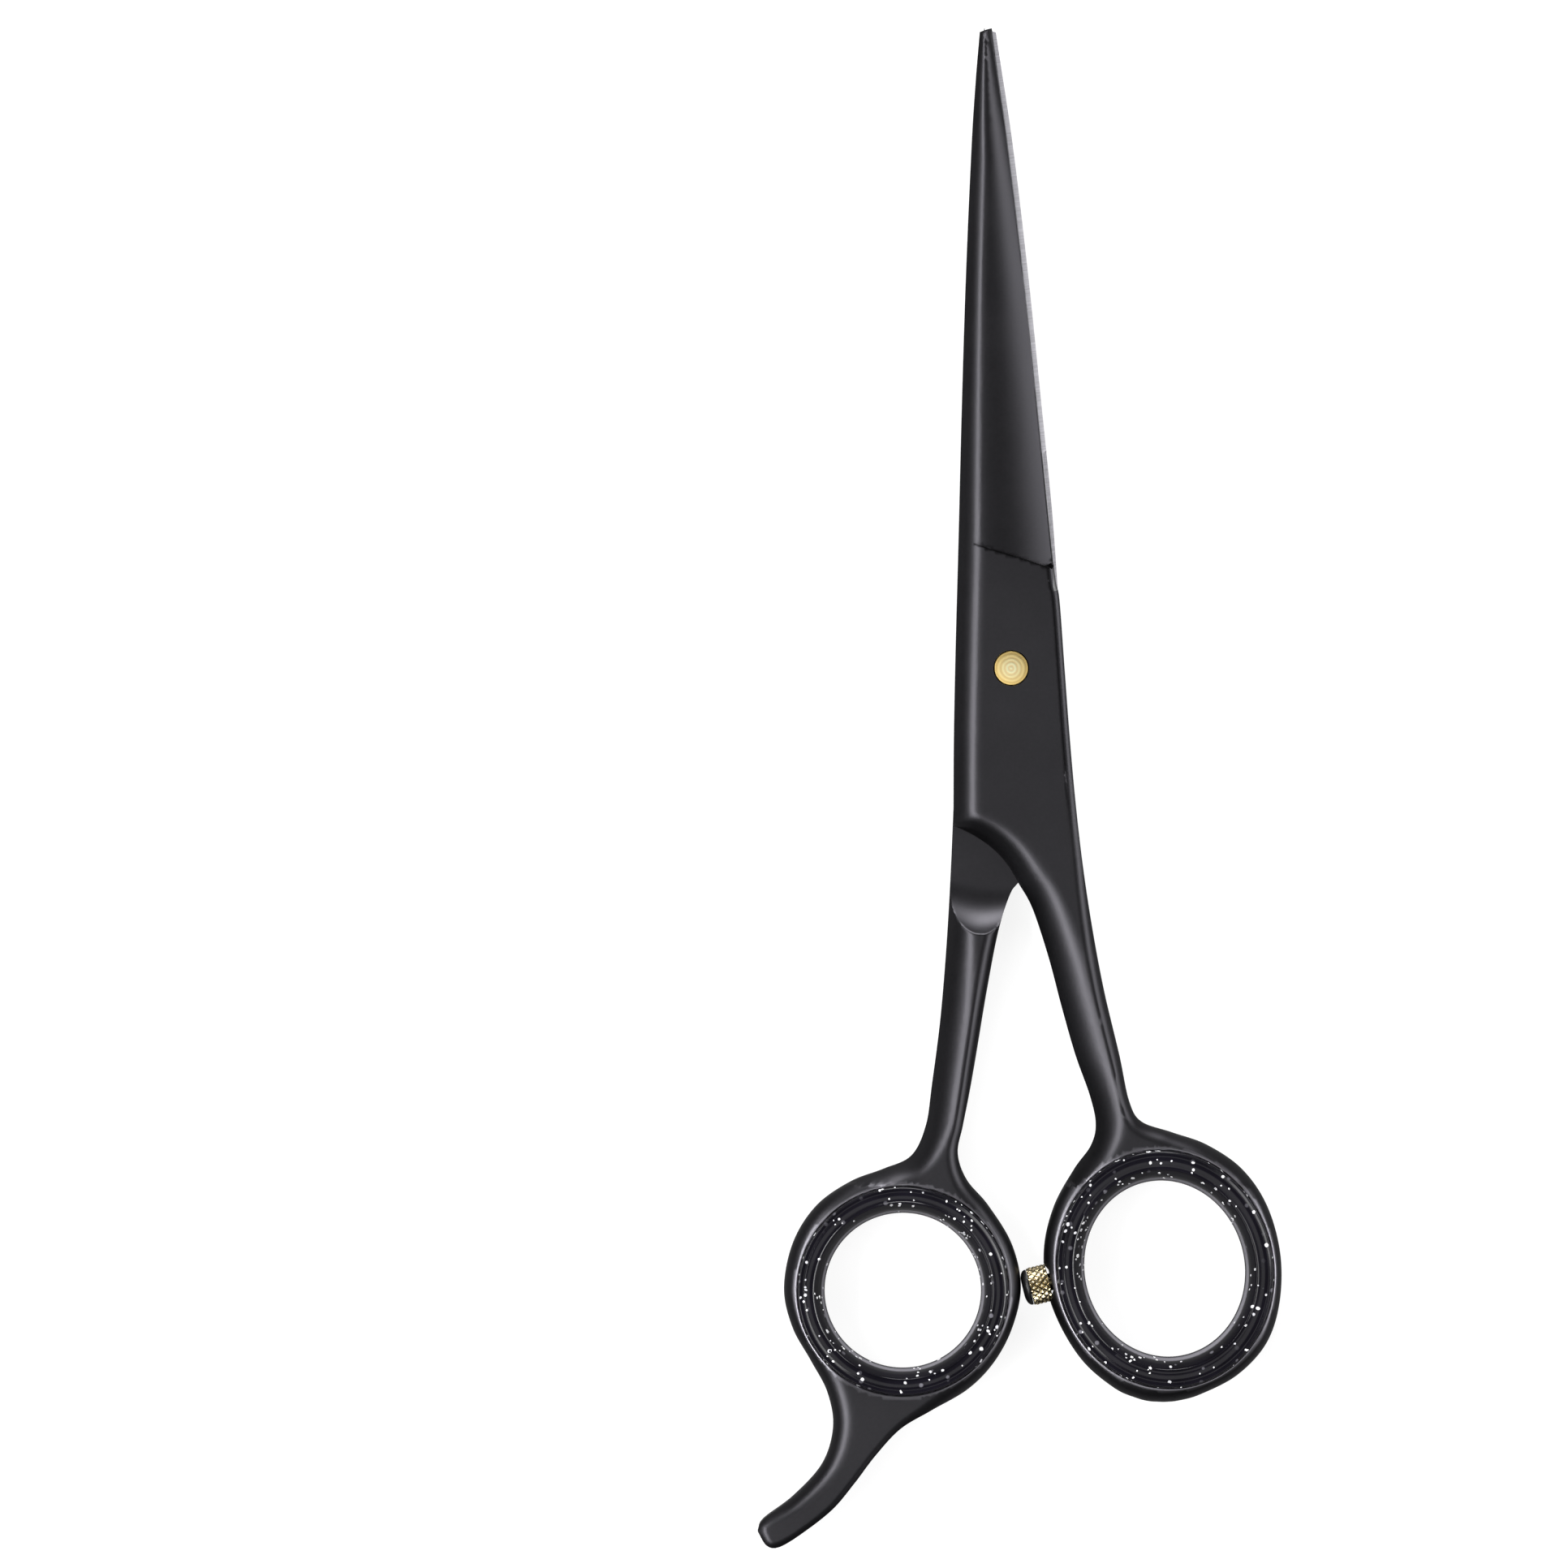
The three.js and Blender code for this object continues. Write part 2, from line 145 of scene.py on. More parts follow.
FINGER = {
    "spine": [(-6.5, -9), (-6.1, 2), (-5.2, 16), (-4.5, 23.8), (-3.7, 31.6), (-2.1, 47.2),
              (-.25, 62.8), (1.8, 76.5)],
    "edge": [(5.8, 12), (5.7, 16), (5.5, 23.8), (5.25, 31.6), (4.75, 47.2), (4.1, 62.8),
             (3.7, 70.6), (3.25, 77)],
    "step": [(-3.7, 14.8), (-1.9, 14.3), (1.9, 13), (5.2, 11.9), (5.8, 12)],
    "outer": [
        (5.8, 12, .7), (6, 5, .8), (6.3, -4, .9), (6.7, -12, 1.2), (7, -19.2, 1.8), (7.37, -27, 3),
        (7.86, -34.8, 4.1), (8.54, -42.6, 4.4), (9.5, -50, 4.2), (10.25, -55, 3.7), (12, -58.6, 3.1),
        (15.4, -60.2, 2.7), (19.3, -61.7, 2.5), (23.4, -64.6, 2.5), (26.2, -69, 2.6),
        (27.3, -74.5, 2.7), (26.3, -79.2, 2.5), (24.1, -83.2, 2.4), (22.1, -87, 2.5),
        (21.4, -91.2, 2.5), (22.7, -95.6, 2.3), (26.2, -99.5, 2), (29.8, -102.3, 1.4),
        (30.45, -103.7, 1.2),
    ],
    "inner": [
        (30.45, -103.7, 1.2), (29.4, -105.4, 1), (27.9, -105.6, .9), (25.2, -104, .8), (21.5, -101.1, .8),
        (18.8, -97.9, .8), (16.3, -94.6, .8), (13.3, -91.4, .9), (9.6, -89.2, 1.4), (5.2, -86.7, 2.1),
        (2, -83.4, 2.3), (-.2, -79.2, 2.3), (-1.2, -74.3, 2.3), (-.1, -69.2, 2.3), (2.7, -64.6, 2.2),
        (5.3, -61.5, 1.9), (6.4, -58.3, 1.5), (5.8, -55, 1.4), (5, -51, 1.6), (4.2, -46.5, 1.8),
        (2.9, -38.7, 1.8), (1.5, -31.5, 1.7), (.1, -27.2, 1.4), (-.88, -25.8, 1.2),
        (-2.6, -23.6, 1), (-4.6, -20.6, .9), (-6.6, -18.5, .9),
    ],
    "recess": True,
}
BEVEL_PLAN = ([-20, 14, 32, 61, 77], [2.0, 2.0, 1.75, 1.35, .55])
EDGE_DEPTH = 2.2
SHANK_DEPTH = 2.65
BAND_DROP = 0.2

# Places along a half, on its own y.
EDGE_START = 9
RIDE_END = -13
CHAMFER_END = -15
BAND_END = -17
CREASE_END = -20
SPINE_END = -21
HOLLOW = ((-1, 12), (-34.5, -25.5))
SHANK_END = -62
FAR_FROM_EDGE = 9

FILL_SPACING = 0.5
ROW_SHARES = (.02, .07, .14, .23, .34, .47, .6, .74, .87, 1, 1.25)

SENSOR = 36
VIEW_MIDDLE = Vector((-27.29, -13.91, 0)) * MM
FLOOR_GAP = 0.00005
# Each softbox's angle from straight up, heading, distance, size and where it points, from the pivot.
SOFTBOXES = {
    "left": (41, 180, .75, (.7, .16), (0, 0, 0)),
    "right": (60, 0, .8, (.8, .34), (0, 0, 0)),
    "top": (0, 0, 2.1, (.9, .9), (0, -.3, 0)),
    "far": (64, 90, .8, (.34, .4), (0, 0, 0)),
    "heel": (38, 222, .75, (.3, .3), (0, 0, 0)),
}


# ---------- the two forged halves ----------
#
# A forged half has ground faces that blend into edges whose rounding changes all the way
# round the outline, so its skin is worked out point by point: one plan of points, and a
# height for each on the outer face and on the ride face.

def smooth_line(points, spacing):
    """A Catmull-Rom curve through points of any dimension, at about one spacing a step."""
    p = np.array(points, float)
    p = np.vstack([2 * p[0] - p[1], p, 2 * p[-1] - p[-2]])
    out = []
    for i in range(1, len(p) - 2):
        steps = max(1, round(np.linalg.norm(p[i + 1, :2] - p[i, :2]) / spacing))
        t = (np.arange(steps) / steps)[:, None]
        a, b, c, d = p[i - 1:i + 3]
        out.append(.5 * (2 * b + (c - a) * t + (2 * a - 5 * b + 4 * c - d) * t ** 2
                         + (3 * b - a - 3 * c + d) * t ** 3))
    return np.vstack(out + [p[-2:-1]])


def smooth_min(a, b, reach):
    h = unit(.5 + .5 * (b - a) / reach)
    return b * (1 - h) + a * h - reach * h * (1 - h)


def nearest(points, line):
    """Distance from each point to a polyline, and the line's third value there."""
    distance = np.empty(len(points))
    value = np.empty(len(points))
    start, step = line[:-1, :2], np.diff(line[:, :2], axis=0)
    length = (step ** 2).sum(1) + 1e-12
    for first in range(0, len(points), 2000):
        part = points[first:first + 2000, None, :]
        t = unit(((part - start) * step).sum(2) / length)
        gap = np.hypot(*np.moveaxis(part - start - t[:, :, None] * step, 2, 0))
        best = gap.argmin(1)
        row = np.arange(len(best))
        share = t[row, best]
        distance[first:first + 2000] = gap[row, best]
        value[first:first + 2000] = line[best, 2] * (1 - share) + line[best + 1, 2] * share
    return distance, value


def gap_to(points, path):
    """Distance from each point to a polyline that has no third value."""
    return nearest(points, np.column_stack([path, path[:, 0]]))[0]


def x_on(line, y):
    return np.interp(y, line[:, 1], line[:, 0])


def unit(values):
    return np.clip(values, 0, 1)


def inside(points, loop):
    """Which points lie inside a closed loop."""
    x, y = points[:, 0:1], points[:, 1:2]
    a, b = loop, np.roll(loop, -1, axis=0)
    crosses = (a[:, 1] > y) != (b[:, 1] > y)
    with np.errstate(divide="ignore", invalid="ignore"):
        at = (b[:, 0] - a[:, 0]) * (y - a[:, 1]) / (b[:, 1] - a[:, 1]) + a[:, 0]
    return (crosses & (x < at)).sum(1) % 2 == 1


def oval(ring, radius, steps):
    """A seat's oval as points, for a radius on the round it was stretched from."""
    a = np.arange(steps) * 2 * math.pi / steps
    x, y = radius * ring["across"] * np.cos(a), radius * ring["along"] * np.sin(a)
    c, s = math.cos(ring["turn"]), math.sin(ring["turn"])
    return np.stack([ring["x"] + c * x - s * y, ring["y"] + s * x + c * y], 1)


def oval_radius(points, ring):
    c, s = math.cos(ring["turn"]), math.sin(ring["turn"])
    x, y = points[:, 0] - ring["x"], points[:, 1] - ring["y"]
    return np.hypot((c * x + s * y) / ring["across"], (c * y - s * x) / ring["along"])


def staggered(across, along, pitch, row_pitch):
    """A grid of points between limits, with every second row moved by half a step."""
    x, y = np.meshgrid(np.arange(*across, pitch), np.arange(*along, row_pitch))
    x[::2] += pitch / 2
    return np.column_stack([x.ravel(), y.ravel()])


def beside_hollow(points):
    """Which points lie outside the stretch that the hollow behind the pivot takes up."""
    return (points[:, 1] < HOLLOW[1][0]) | (points[:, 1] > HOLLOW[1][1])


class HalfPlan:
    """The plan of one half: its outline, its points and the triangles between them."""

    def __init__(self, lines, ring, spacing):
        self.lines, self.ring = lines, ring
        self.spine = smooth_line(lines["spine"], .5)
        self.edge = smooth_line(lines["edge"], .5)
        self.outer = smooth_line(lines["outer"], spacing)
        self.inner = smooth_line(lines["inner"], spacing)
        corner = self.inner[-1]
        back = np.array([(corner[0], corner[1], 2.0)] + [(x, y, 2.0) for x, y in lines["spine"]])
        self.back = smooth_line(back, spacing)
        cut = np.array([(x, y, .4) for x, y in lines["edge"][::-1]])
        self.cut = smooth_line(cut, spacing)
        nose = np.linspace(self.back[-1], self.cut[0], 6)
        self.loop = np.vstack([self.cut[:-1], self.outer[:-1], self.inner[:-1], self.back[:-1],
                               nose[:-1]])

    def fill(self, spacing):
        """Rows of points that follow each edge, an even spread between, and the triangles."""
        loop = self.loop[:, :2]
        ahead = np.roll(loop, -1, 0) - np.roll(loop, 1, 0)
        inward = np.stack([ahead[:, 1], -ahead[:, 0]], 1)
        inward /= np.linalg.norm(inward, axis=1)[:, None]
        if not inside(loop[:200:20] + .05 * inward[:200:20], loop).all():
            inward = -inward
        reach = self.loop[:, 2]
        rows = np.vstack([np.column_stack([loop + inward * (reach * share)[:, None], reach * share])
                          for share in ROW_SHARES])
        closed = np.vstack([self.loop, self.loop[:1]])
        fine = staggered(*HOLLOW, .15, .13)
        fine = fine[inside(fine, loop)]
        fine = fine[nearest(fine, closed)[0] > .25]
        grid = staggered(*zip(loop.min(0), loop.max(0)), spacing, spacing * .866)
        grid = grid[inside(grid, loop) & beside_hollow(grid)]
        gap, width = nearest(grid, closed)
        grid = grid[gap > width * 1.1]
        rows = rows[inside(rows[:, :2], loop)]
        gap, _ = nearest(rows[:, :2], closed)
        rows = rows[(beside_hollow(rows) | (gap < .22)) & (gap > .93 * rows[:, 2]), :2]
        points = np.vstack([rows, grid, fine])
        hole = BUSHING_HOLE if self.lines["recess"] else SCREW_HOLE
        circles = [(ROUND, hole, 72), (ROUND, hole + .12, 72), (self.ring, RING_BORE, 160)]
        if self.lines["recess"]:
            circles += [(ROUND, RECESS_RADIUS + more, 96) for more in (-.03, 0, .15)]
        circles += [(self.ring, SEAT_RADIUS + more, 200)
                    for more in (0, .02, .05, .1, .16, SEAT_LIP, -.03)]
        loops = [loop] + [oval(*circle) for circle in circles]
        points = points[oval_radius(points, self.ring) > SEAT_RADIUS + .36]
        bore = np.hypot(*points.T)
        points = points[bore > (RECESS_RADIUS + .3 if self.lines["recess"] else hole + .3)]
        step = smooth_line([(x, y, 0) for x, y in self.lines["step"]], .4)[:, :2]
        wall = step + (0, .1)
        wall[-1, 0] = x_on(self.edge, wall[-1, 1])
        points = points[np.minimum(gap_to(points, step), gap_to(points, wall)) > .12]
        self.step = step
        _, keep = np.unique(np.round(points / .04).astype(int), axis=0, return_index=True)
        points = points[np.sort(keep)]
        verts, edges = [], []
        for ring_points in loops:
            first = len(verts)
            verts += ring_points.tolist()
            count = len(ring_points)
            edges += [(first + i, first + (i + 1) % count) for i in range(count)]
        for path in (step[:-1], wall[:-1]):
            first = len(verts)
            verts += path.tolist()
            edges += [(first + i, first + i + 1) for i in range(len(path) - 1)]
        verts += points.tolist()
        made = delaunay_2d_cdt([Vector(v) for v in verts], edges, [], 1, 1e-6)
        self.points = np.array([tuple(v) for v in made[0]])
        faces = np.array(made[2])
        middle = self.points[faces].mean(1)
        in_bore = oval_radius(middle, self.ring) < RING_BORE * .999
        in_hole = np.hypot(*middle.T) < hole * .999
        self.faces = faces[~(in_bore | in_hole) & inside(middle, loop)]

    def relief_rise(self, x, y):
        """How far the hollow behind the pivot rises out of the ride face: an arc, bowl-sided."""
        rise = FACE + RIDE_GAP
        arc_radius = (RELIEF_RUN ** 2 + rise ** 2) / (2 * rise)
        sides = [line[np.argsort(line[:, 1])] for line in (self.outer, self.inner)]
        outer, inner = (x_on(line, y) for line in sides)
        middle = (outer + inner) / 2
        across = np.abs(x - middle) / np.maximum((outer - inner) / 2, .5)
        begun = unit((-y - RELIEF_START + 1) / 6)
        out = np.maximum(np.where(y < 0, np.hypot(x, y), 0) - RELIEF_START, 0)
        run = np.where(out > 0, np.hypot(out, RELIEF_SIDE * RELIEF_RUN * begun * across), 0)
        lift = arc_radius - np.sqrt(np.maximum(arc_radius ** 2 - run ** 2, 0))
        return np.where(run > RELIEF_RUN * 1.02, 3 * FACE, lift)

    def heights(self):
        """The outer face's and the ride face's height at every point."""
        p = self.points
        x, y = p.T
        rounding = np.zeros(len(p))
        for line in (self.outer, self.inner):
            gap, width = nearest(p, line)
            u = unit(1 - gap / width)
            wide = unit((width - 1.9) / 1.2) * (y > SHANK_END)
            full = unit((width - 1.2) / .8)
            depth = np.minimum(EDGE_DEPTH + (SHANK_DEPTH - EDGE_DEPTH) * wide, width * (.45 + .6 * full))
            soft = np.maximum(wide, 1 - full)
            edge = depth * ((1 - soft) * (1 - np.sqrt(1 - u ** 2)) + soft * u ** 2)
            if line is self.outer:
                # Painted shade: a dark line along the crease where the edge band meets the plate.
                self.crease = unit(1 - np.abs(gap / width - .93) / .16)
                self.crease *= unit((y - CREASE_END) / 8)
                low = unit((.87 - gap / width) / .87)
                band = BAND_DROP * unit((1 - gap / width) / .13) + depth * low ** 2
                share = unit((y - BAND_END) / 8)
                edge = share * band + (1 - share) * edge
            rounding = np.maximum(rounding, edge)
        seat = oval_radius(p, self.ring) - SEAT_RADIUS
        lip = unit(1 - seat / SEAT_LIP)
        rounding += np.where(seat >= 0, SEAT_LIP * (1 - np.sqrt(1 - lip ** 2)), 0)
        plate = FACE - rounding
        plate = np.where(seat < -.015, SEAT_SHELF, plate)
        along = unit((y - 10) / 67) ** 1.1
        ridge = FACE + (TIP_HEIGHT - FACE) * along
        bevel = np.interp(y, *BEVEL_PLAN)
        spine_x, edge_x = x_on(self.back, y), x_on(self.edge, y)
        in_from_spine = x - spine_x
        t = unit((in_from_spine - bevel) / np.maximum(edge_x - spine_x - bevel, .1))
        lip_height = RIDE_GAP + .3 - .12 * along
        crown = ridge - (ridge - lip_height) * t ** 2
        crown = np.minimum(crown, RIDE_GAP + .03 + 2.2 * np.maximum(edge_x - x, 0))
        step_y = np.interp(x, self.step[:, 0], self.step[:, 1])
        blade = y > step_y + .05
        top = np.where(blade, crown, np.minimum(plate, ridge))
        steep = ridge - bevel + in_from_spine * 1.05
        top = np.where(y > SPINE_END, smooth_min(steep, top, .72 * bevel), top)
        relief = RIDE_GAP - self.relief_rise(x, y)
        low_plate = np.where(seat < -.015, -SEAT_SHELF, -(FACE - rounding))
        under = -smooth_min(-low_plate, -relief, .14)
        chamfer = np.clip(.3 - in_from_spine, 0, .3) * (y > CHAMFER_END)
        under = under + np.where(np.hypot(x, y) < RELIEF_START, chamfer, 0)
        if self.lines["recess"]:
            top = np.where(np.hypot(x, y) < RECESS_RADIUS - .015, RECESS_FLOOR, top)
        top = np.maximum(top, under + .06)
        return top, under


def half_mesh(name, lines, ring, spacing):
    """The closed skin of one half, with what its finish needs kept at every point."""
    plan = HalfPlan(lines, ring, spacing)
    plan.fill(FILL_SPACING)
    top, under = plan.heights()
    count = len(plan.points)
    verts = np.vstack([np.column_stack([plan.points, top]), np.column_stack([plan.points, under])])
    faces = plan.faces
    a, b, c = (plan.points[faces[:, i]] for i in range(3))
    turn = (b[:, 0] - a[:, 0]) * (c[:, 1] - a[:, 1]) - (b[:, 1] - a[:, 1]) * (c[:, 0] - a[:, 0])
    faces = np.where((turn < 0)[:, None], faces[:, ::-1], faces)
    sides = np.vstack([faces[:, [0, 1]], faces[:, [1, 2]], faces[:, [2, 0]]])
    keys = {tuple(s) for s in sides.tolist()}
    rim = [(i, j) for i, j in keys if (j, i) not in keys]
    walls = [(j, i, i + count, j + count) for i, j in rim]
    mesh = bpy.data.meshes.new(name)
    mesh.from_pydata(verts.tolist(), [], faces.tolist() + (faces[:, ::-1] + count).tolist() + walls)
    x, y = plan.points.T
    from_edge = np.where(y > EDGE_START, x_on(plan.edge, y) - x, FAR_FROM_EDGE)
    from_edge = np.clip(from_edge, 0, FAR_FROM_EDGE)
    seat = oval_radius(plan.points, plan.ring) - SEAT_RADIUS
    # Where the painted highlight round the ring seat's lip goes.
    lip = unit(1 - np.abs(seat - .12) / .18)
    # Where painted shade darkens the step line and the edge band's crease.
    crease = np.maximum(unit(1 - gap_to(plan.points, plan.step) / .17), plan.crease)
    for label, values, below in (("from_edge", from_edge, 1), ("lip", lip, 1), ("crease", crease, 0)):
        keep(mesh, label, np.concatenate([values, values * below]).astype(np.float32))
    return mesh, plan


# ---------- modelling helpers ----------

def clear_selection():
    if bpy.context.mode != "OBJECT":
        bpy.ops.object.mode_set(mode="OBJECT")
    bpy.ops.object.select_all(action="DESELECT")


def make_active(piece):
    clear_selection()
    piece.select_set(True)
    bpy.context.view_layer.objects.active = piece


def apply_modifiers(piece):
    make_active(piece)
    for modifier in list(piece.modifiers):
        bpy.ops.object.modifier_apply(modifier=modifier.name)


def link_mesh(name, mesh):
    piece = bpy.data.objects.new(name, mesh)
    bpy.context.scene.collection.objects.link(piece)
    return piece


def keep(mesh, name, values):
    """Keeps a value at every point of a mesh, for its finish to read."""
    mesh.attributes.new(name, "FLOAT", "POINT").data.foreach_set("value", values)


def smooth(piece, degrees):
    make_active(piece)
    bpy.ops.object.shade_smooth_by_angle(angle=math.radians(degrees))


def face_outwards(piece):
    make_active(piece)
    bpy.ops.object.mode_set(mode="EDIT")
    bpy.ops.mesh.select_all(action="SELECT")
    bpy.ops.mesh.remove_doubles(threshold=1e-4)
    bpy.ops.mesh.normals_make_consistent(inside=False)
    bpy.ops.object.mode_set(mode="OBJECT")


def revolve(name, profile, steps):
    """Spins a [radius, height] profile in millimetres about Z, as on a lathe.

    The profile closes on itself, or starts and ends on the axis.
    """
    clear_selection()
    bpy.ops.mesh.primitive_circle_add(vertices=len(profile), radius=1)
    piece = bpy.context.object
    piece.name = piece.data.name = name
    for vertex, (radius, height) in zip(piece.data.vertices, profile):
        vertex.co = (radius, 0, height)
    on_axis = profile[0][0] == 0 and profile[-1][0] == 0
    bpy.ops.object.mode_set(mode="EDIT")
    if on_axis:
        bpy.ops.mesh.select_all(action="DESELECT")
        skin = bmesh.from_edit_mesh(piece.data)
        for edge in skin.edges:
            edge.select_set(all(vertex.co.x == 0 for vertex in edge.verts))
        bpy.ops.mesh.delete(type="EDGE_FACE")
    bpy.ops.mesh.select_all(action="SELECT")
    bpy.ops.mesh.spin(steps=steps, angle=2 * math.pi, center=(0, 0, 0), axis=(0, 0, 1))
    bpy.ops.object.mode_set(mode="OBJECT")
    face_outwards(piece)
    return piece


def arc(centre, radius, start, end, steps):
    """Points on an arc in a [radius, height] profile, by angles in degrees."""
    turns = [math.radians(start + (end - start) * i / steps) for i in range(steps + 1)]
    return [(centre[0] + radius * math.cos(a), centre[1] + radius * math.sin(a)) for a in turns]


def raised(level, *profile):
    """A [radius, height] profile whose heights are measured from a level."""
    return [(radius, level + height) for radius, height in profile]


def cut_with(piece, cutter):
    """Cuts one piece with another, which is then thrown away."""
    modifier = piece.modifiers.new("cut", "BOOLEAN")
    modifier.operation = "DIFFERENCE"
    modifier.solver = "EXACT"
    modifier.object = cutter
    apply_modifiers(piece)
    bpy.data.objects.remove(cutter)


def finish_piece(piece, surfaces, body, node):
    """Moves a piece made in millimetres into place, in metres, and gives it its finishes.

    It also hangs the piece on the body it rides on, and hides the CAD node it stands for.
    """
    piece.data.transform(Matrix.Translation(PIVOT) @ Matrix.Scale(MM, 4))
    piece.matrix_world = Matrix.Identity(4)
    for surface in surfaces:
        piece.data.materials.append(finish(surface))
    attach(piece, body)
    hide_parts(node)


# ---------- finishes ----------

class Tree:
    """A node tree, and the nodes that the finishes are built from."""

    def __init__(self, tree):
        self.nodes, self.links = tree.nodes, tree.links

    def feed(self, socket, value):
        """Links a socket, or sets it."""
        if isinstance(value, bpy.types.NodeSocket):
            self.links.new(value, socket)
        else:
            socket.default_value = value

    def add(self, kind, inputs, **settings):
        """Adds a node with its settings and what goes into it, and gives its outputs."""
        node = self.nodes.new("ShaderNode" + kind)
        for name, value in settings.items():
            setattr(node, name, value)
        for socket, value in inputs.items():
            self.feed(node.inputs[socket], value)
        return node.outputs

    def math(self, operation, *values):
        return self.add("Math", dict(enumerate(values)), operation=operation)[0]

    def noise(self, vector, scale, detail, roughness=.5):
        return self.add("TexNoise", {"Vector": vector, "Scale": scale, "Detail": detail,
                                     "Roughness": roughness})["Fac"]

    def cells(self, vector, scale):
        """A cell pattern: distance from each cell's middle, and its random red, green and blue."""
        cell = self.add("TexVoronoi", {"Vector": vector, "Scale": scale})
        split = self.add("SeparateColor", {"Color": cell["Color"]})
        return cell["Distance"], split["Red"], split["Green"], split["Blue"]

    def mapped(self, scale=(1, 1, 1), turn=0.0, place=(0, 0, 0)):
        """Object coordinates, moved and turned on to a piece and then stretched."""
        moved = self.add("Mapping", {"Vector": self.add("TexCoord", {})["Object"], "Location": place,
                                     "Rotation": (0, 0, turn)}, vector_type="TEXTURE")
        return self.add("Mapping", {"Vector": moved["Vector"], "Scale": scale})["Vector"]

    def ramp(self, value, low, high, out_low=0.0, out_high=1.0):
        return self.add("MapRange", {"Value": value, "From Min": low, "From Max": high,
                                     "To Min": out_low, "To Max": out_high})["Result"]

    def mix(self, share, first, second):
        """Mixes two colours, each a socket or three numbers."""
        first, second = (colour if isinstance(colour, bpy.types.NodeSocket) else (*colour, 1)
                         for colour in (first, second))
        return self.add("Mix", {"Factor": share, "A": first, "B": second}, data_type="RGBA")["Result"]

    def bump(self, height, distance, strength):
        return self.add("Bump", {"Height": height, "Distance": distance, "Strength": strength})["Normal"]

    def kept(self, name):
        """A value kept at each of the mesh's points."""
        return self.add("Attribute", {}, attribute_name=name)["Fac"]

    def handled(self, group, vector, roughness, amount):
        """The handling group's uneven roughness, and its mask."""
        given = {"Vector": vector, "Roughness": roughness, "Amount": amount}
        outputs = self.add("Group", given, node_tree=group)
        return outputs["Roughness"], outputs["Mask"]


class Finish(Tree):
    """A new material's tree, and the shader it feeds."""

    def __init__(self, name):
        self.surface = bpy.data.materials.new(name + "_finish")
        self.surface.use_nodes = True
        super().__init__(self.surface.node_tree)
        self.shader = self.nodes["Principled BSDF"]

    def shade(self, values):
        for label, value in values.items():
            self.feed(self.shader.inputs[label], value)


def finish(name):
    return bpy.data.materials[name + "_finish"]


def times(colour, factors):
    """A colour made brighter or darker, by one factor or one for each channel."""
    return [min(1, c * factor) for c, factor in zip(colour, np.broadcast_to(factors, 3))]


def handling_group():
    """Faint uneven gloss from handling, and fine specks, as a change to a finish's roughness."""
    group = bpy.data.node_groups.new("handling", "ShaderNodeTree")
    for label, kind, default in (("Vector", "NodeSocketVector", (0, 0, 0)),
                                 ("Roughness", "NodeSocketFloat", .35),
                                 ("Amount", "NodeSocketFloat", .05)):
        group.interface.new_socket(label, in_out="INPUT", socket_type=kind).default_value = default
    for label in ("Roughness", "Mask"):
        group.interface.new_socket(label, in_out="OUTPUT", socket_type="NodeSocketFloat")
    tree = Tree(group)
    given = tree.nodes.new("NodeGroupInput").outputs
    out = tree.nodes.new("NodeGroupOutput").inputs
    cloud = tree.noise(given["Vector"], 90, 4, .6)
    speck = tree.noise(given["Vector"], 2600, 1)
    both = tree.math("ADD", tree.math("MULTIPLY", cloud, .7), tree.math("MULTIPLY", speck, .3))
    centred = tree.math("SUBTRACT", both, .5)
    change = tree.math("MULTIPLY", centred, tree.math("MULTIPLY", given["Amount"], 4.0))
    tree.links.new(tree.math("ADD", given["Roughness"], change), out["Roughness"])
    tree.links.new(both, out["Mask"])
    return group


def coated_steel(colour, handling):
    """Satin black coating, worn to bare metal in a hairline along the cutting edge, with a painted
    highlight on each ring seat's lip and painted shade along the creases.
    """
    tree = Finish("coated_steel")
    place = tree.mapped()
    rough, mask = tree.handled(handling, place, .385, .035)
    base = tree.mix(tree.ramp(mask, .3, .7), times(colour, .93), times(colour, 1.07))
    jitter = tree.math("MULTIPLY", tree.noise(place, 900, 3), .16)
    reach = tree.math("ADD", tree.kept("from_edge"), jitter)
    base = tree.mix(tree.ramp(reach, .2, .12), base, (.1, .1, .102))
    # Painted highlight: the ring seat's lip is brightened twelvefold, in patches, standing in for the
    # light its rounded edge catches.
    patchy = tree.ramp(tree.noise(place, 260, 2), .25, .75, .65, 1.0)
    painted_lip_highlight = tree.math("MULTIPLY", tree.kept("lip"), patchy)
    base = tree.mix(painted_lip_highlight, base, times(colour, 12))
    # Painted shade: the step line and the edge band's crease darkened to a tenth of the coating.
    base = tree.mix(tree.kept("crease"), base, times(colour, .1))
    grain = tree.noise(place, 5200, 2, .6)
    tree.shade({"Base Color": base, "Roughness": rough, "Metallic": 1.0,
                "Normal": tree.bump(grain, .000004, .35)})


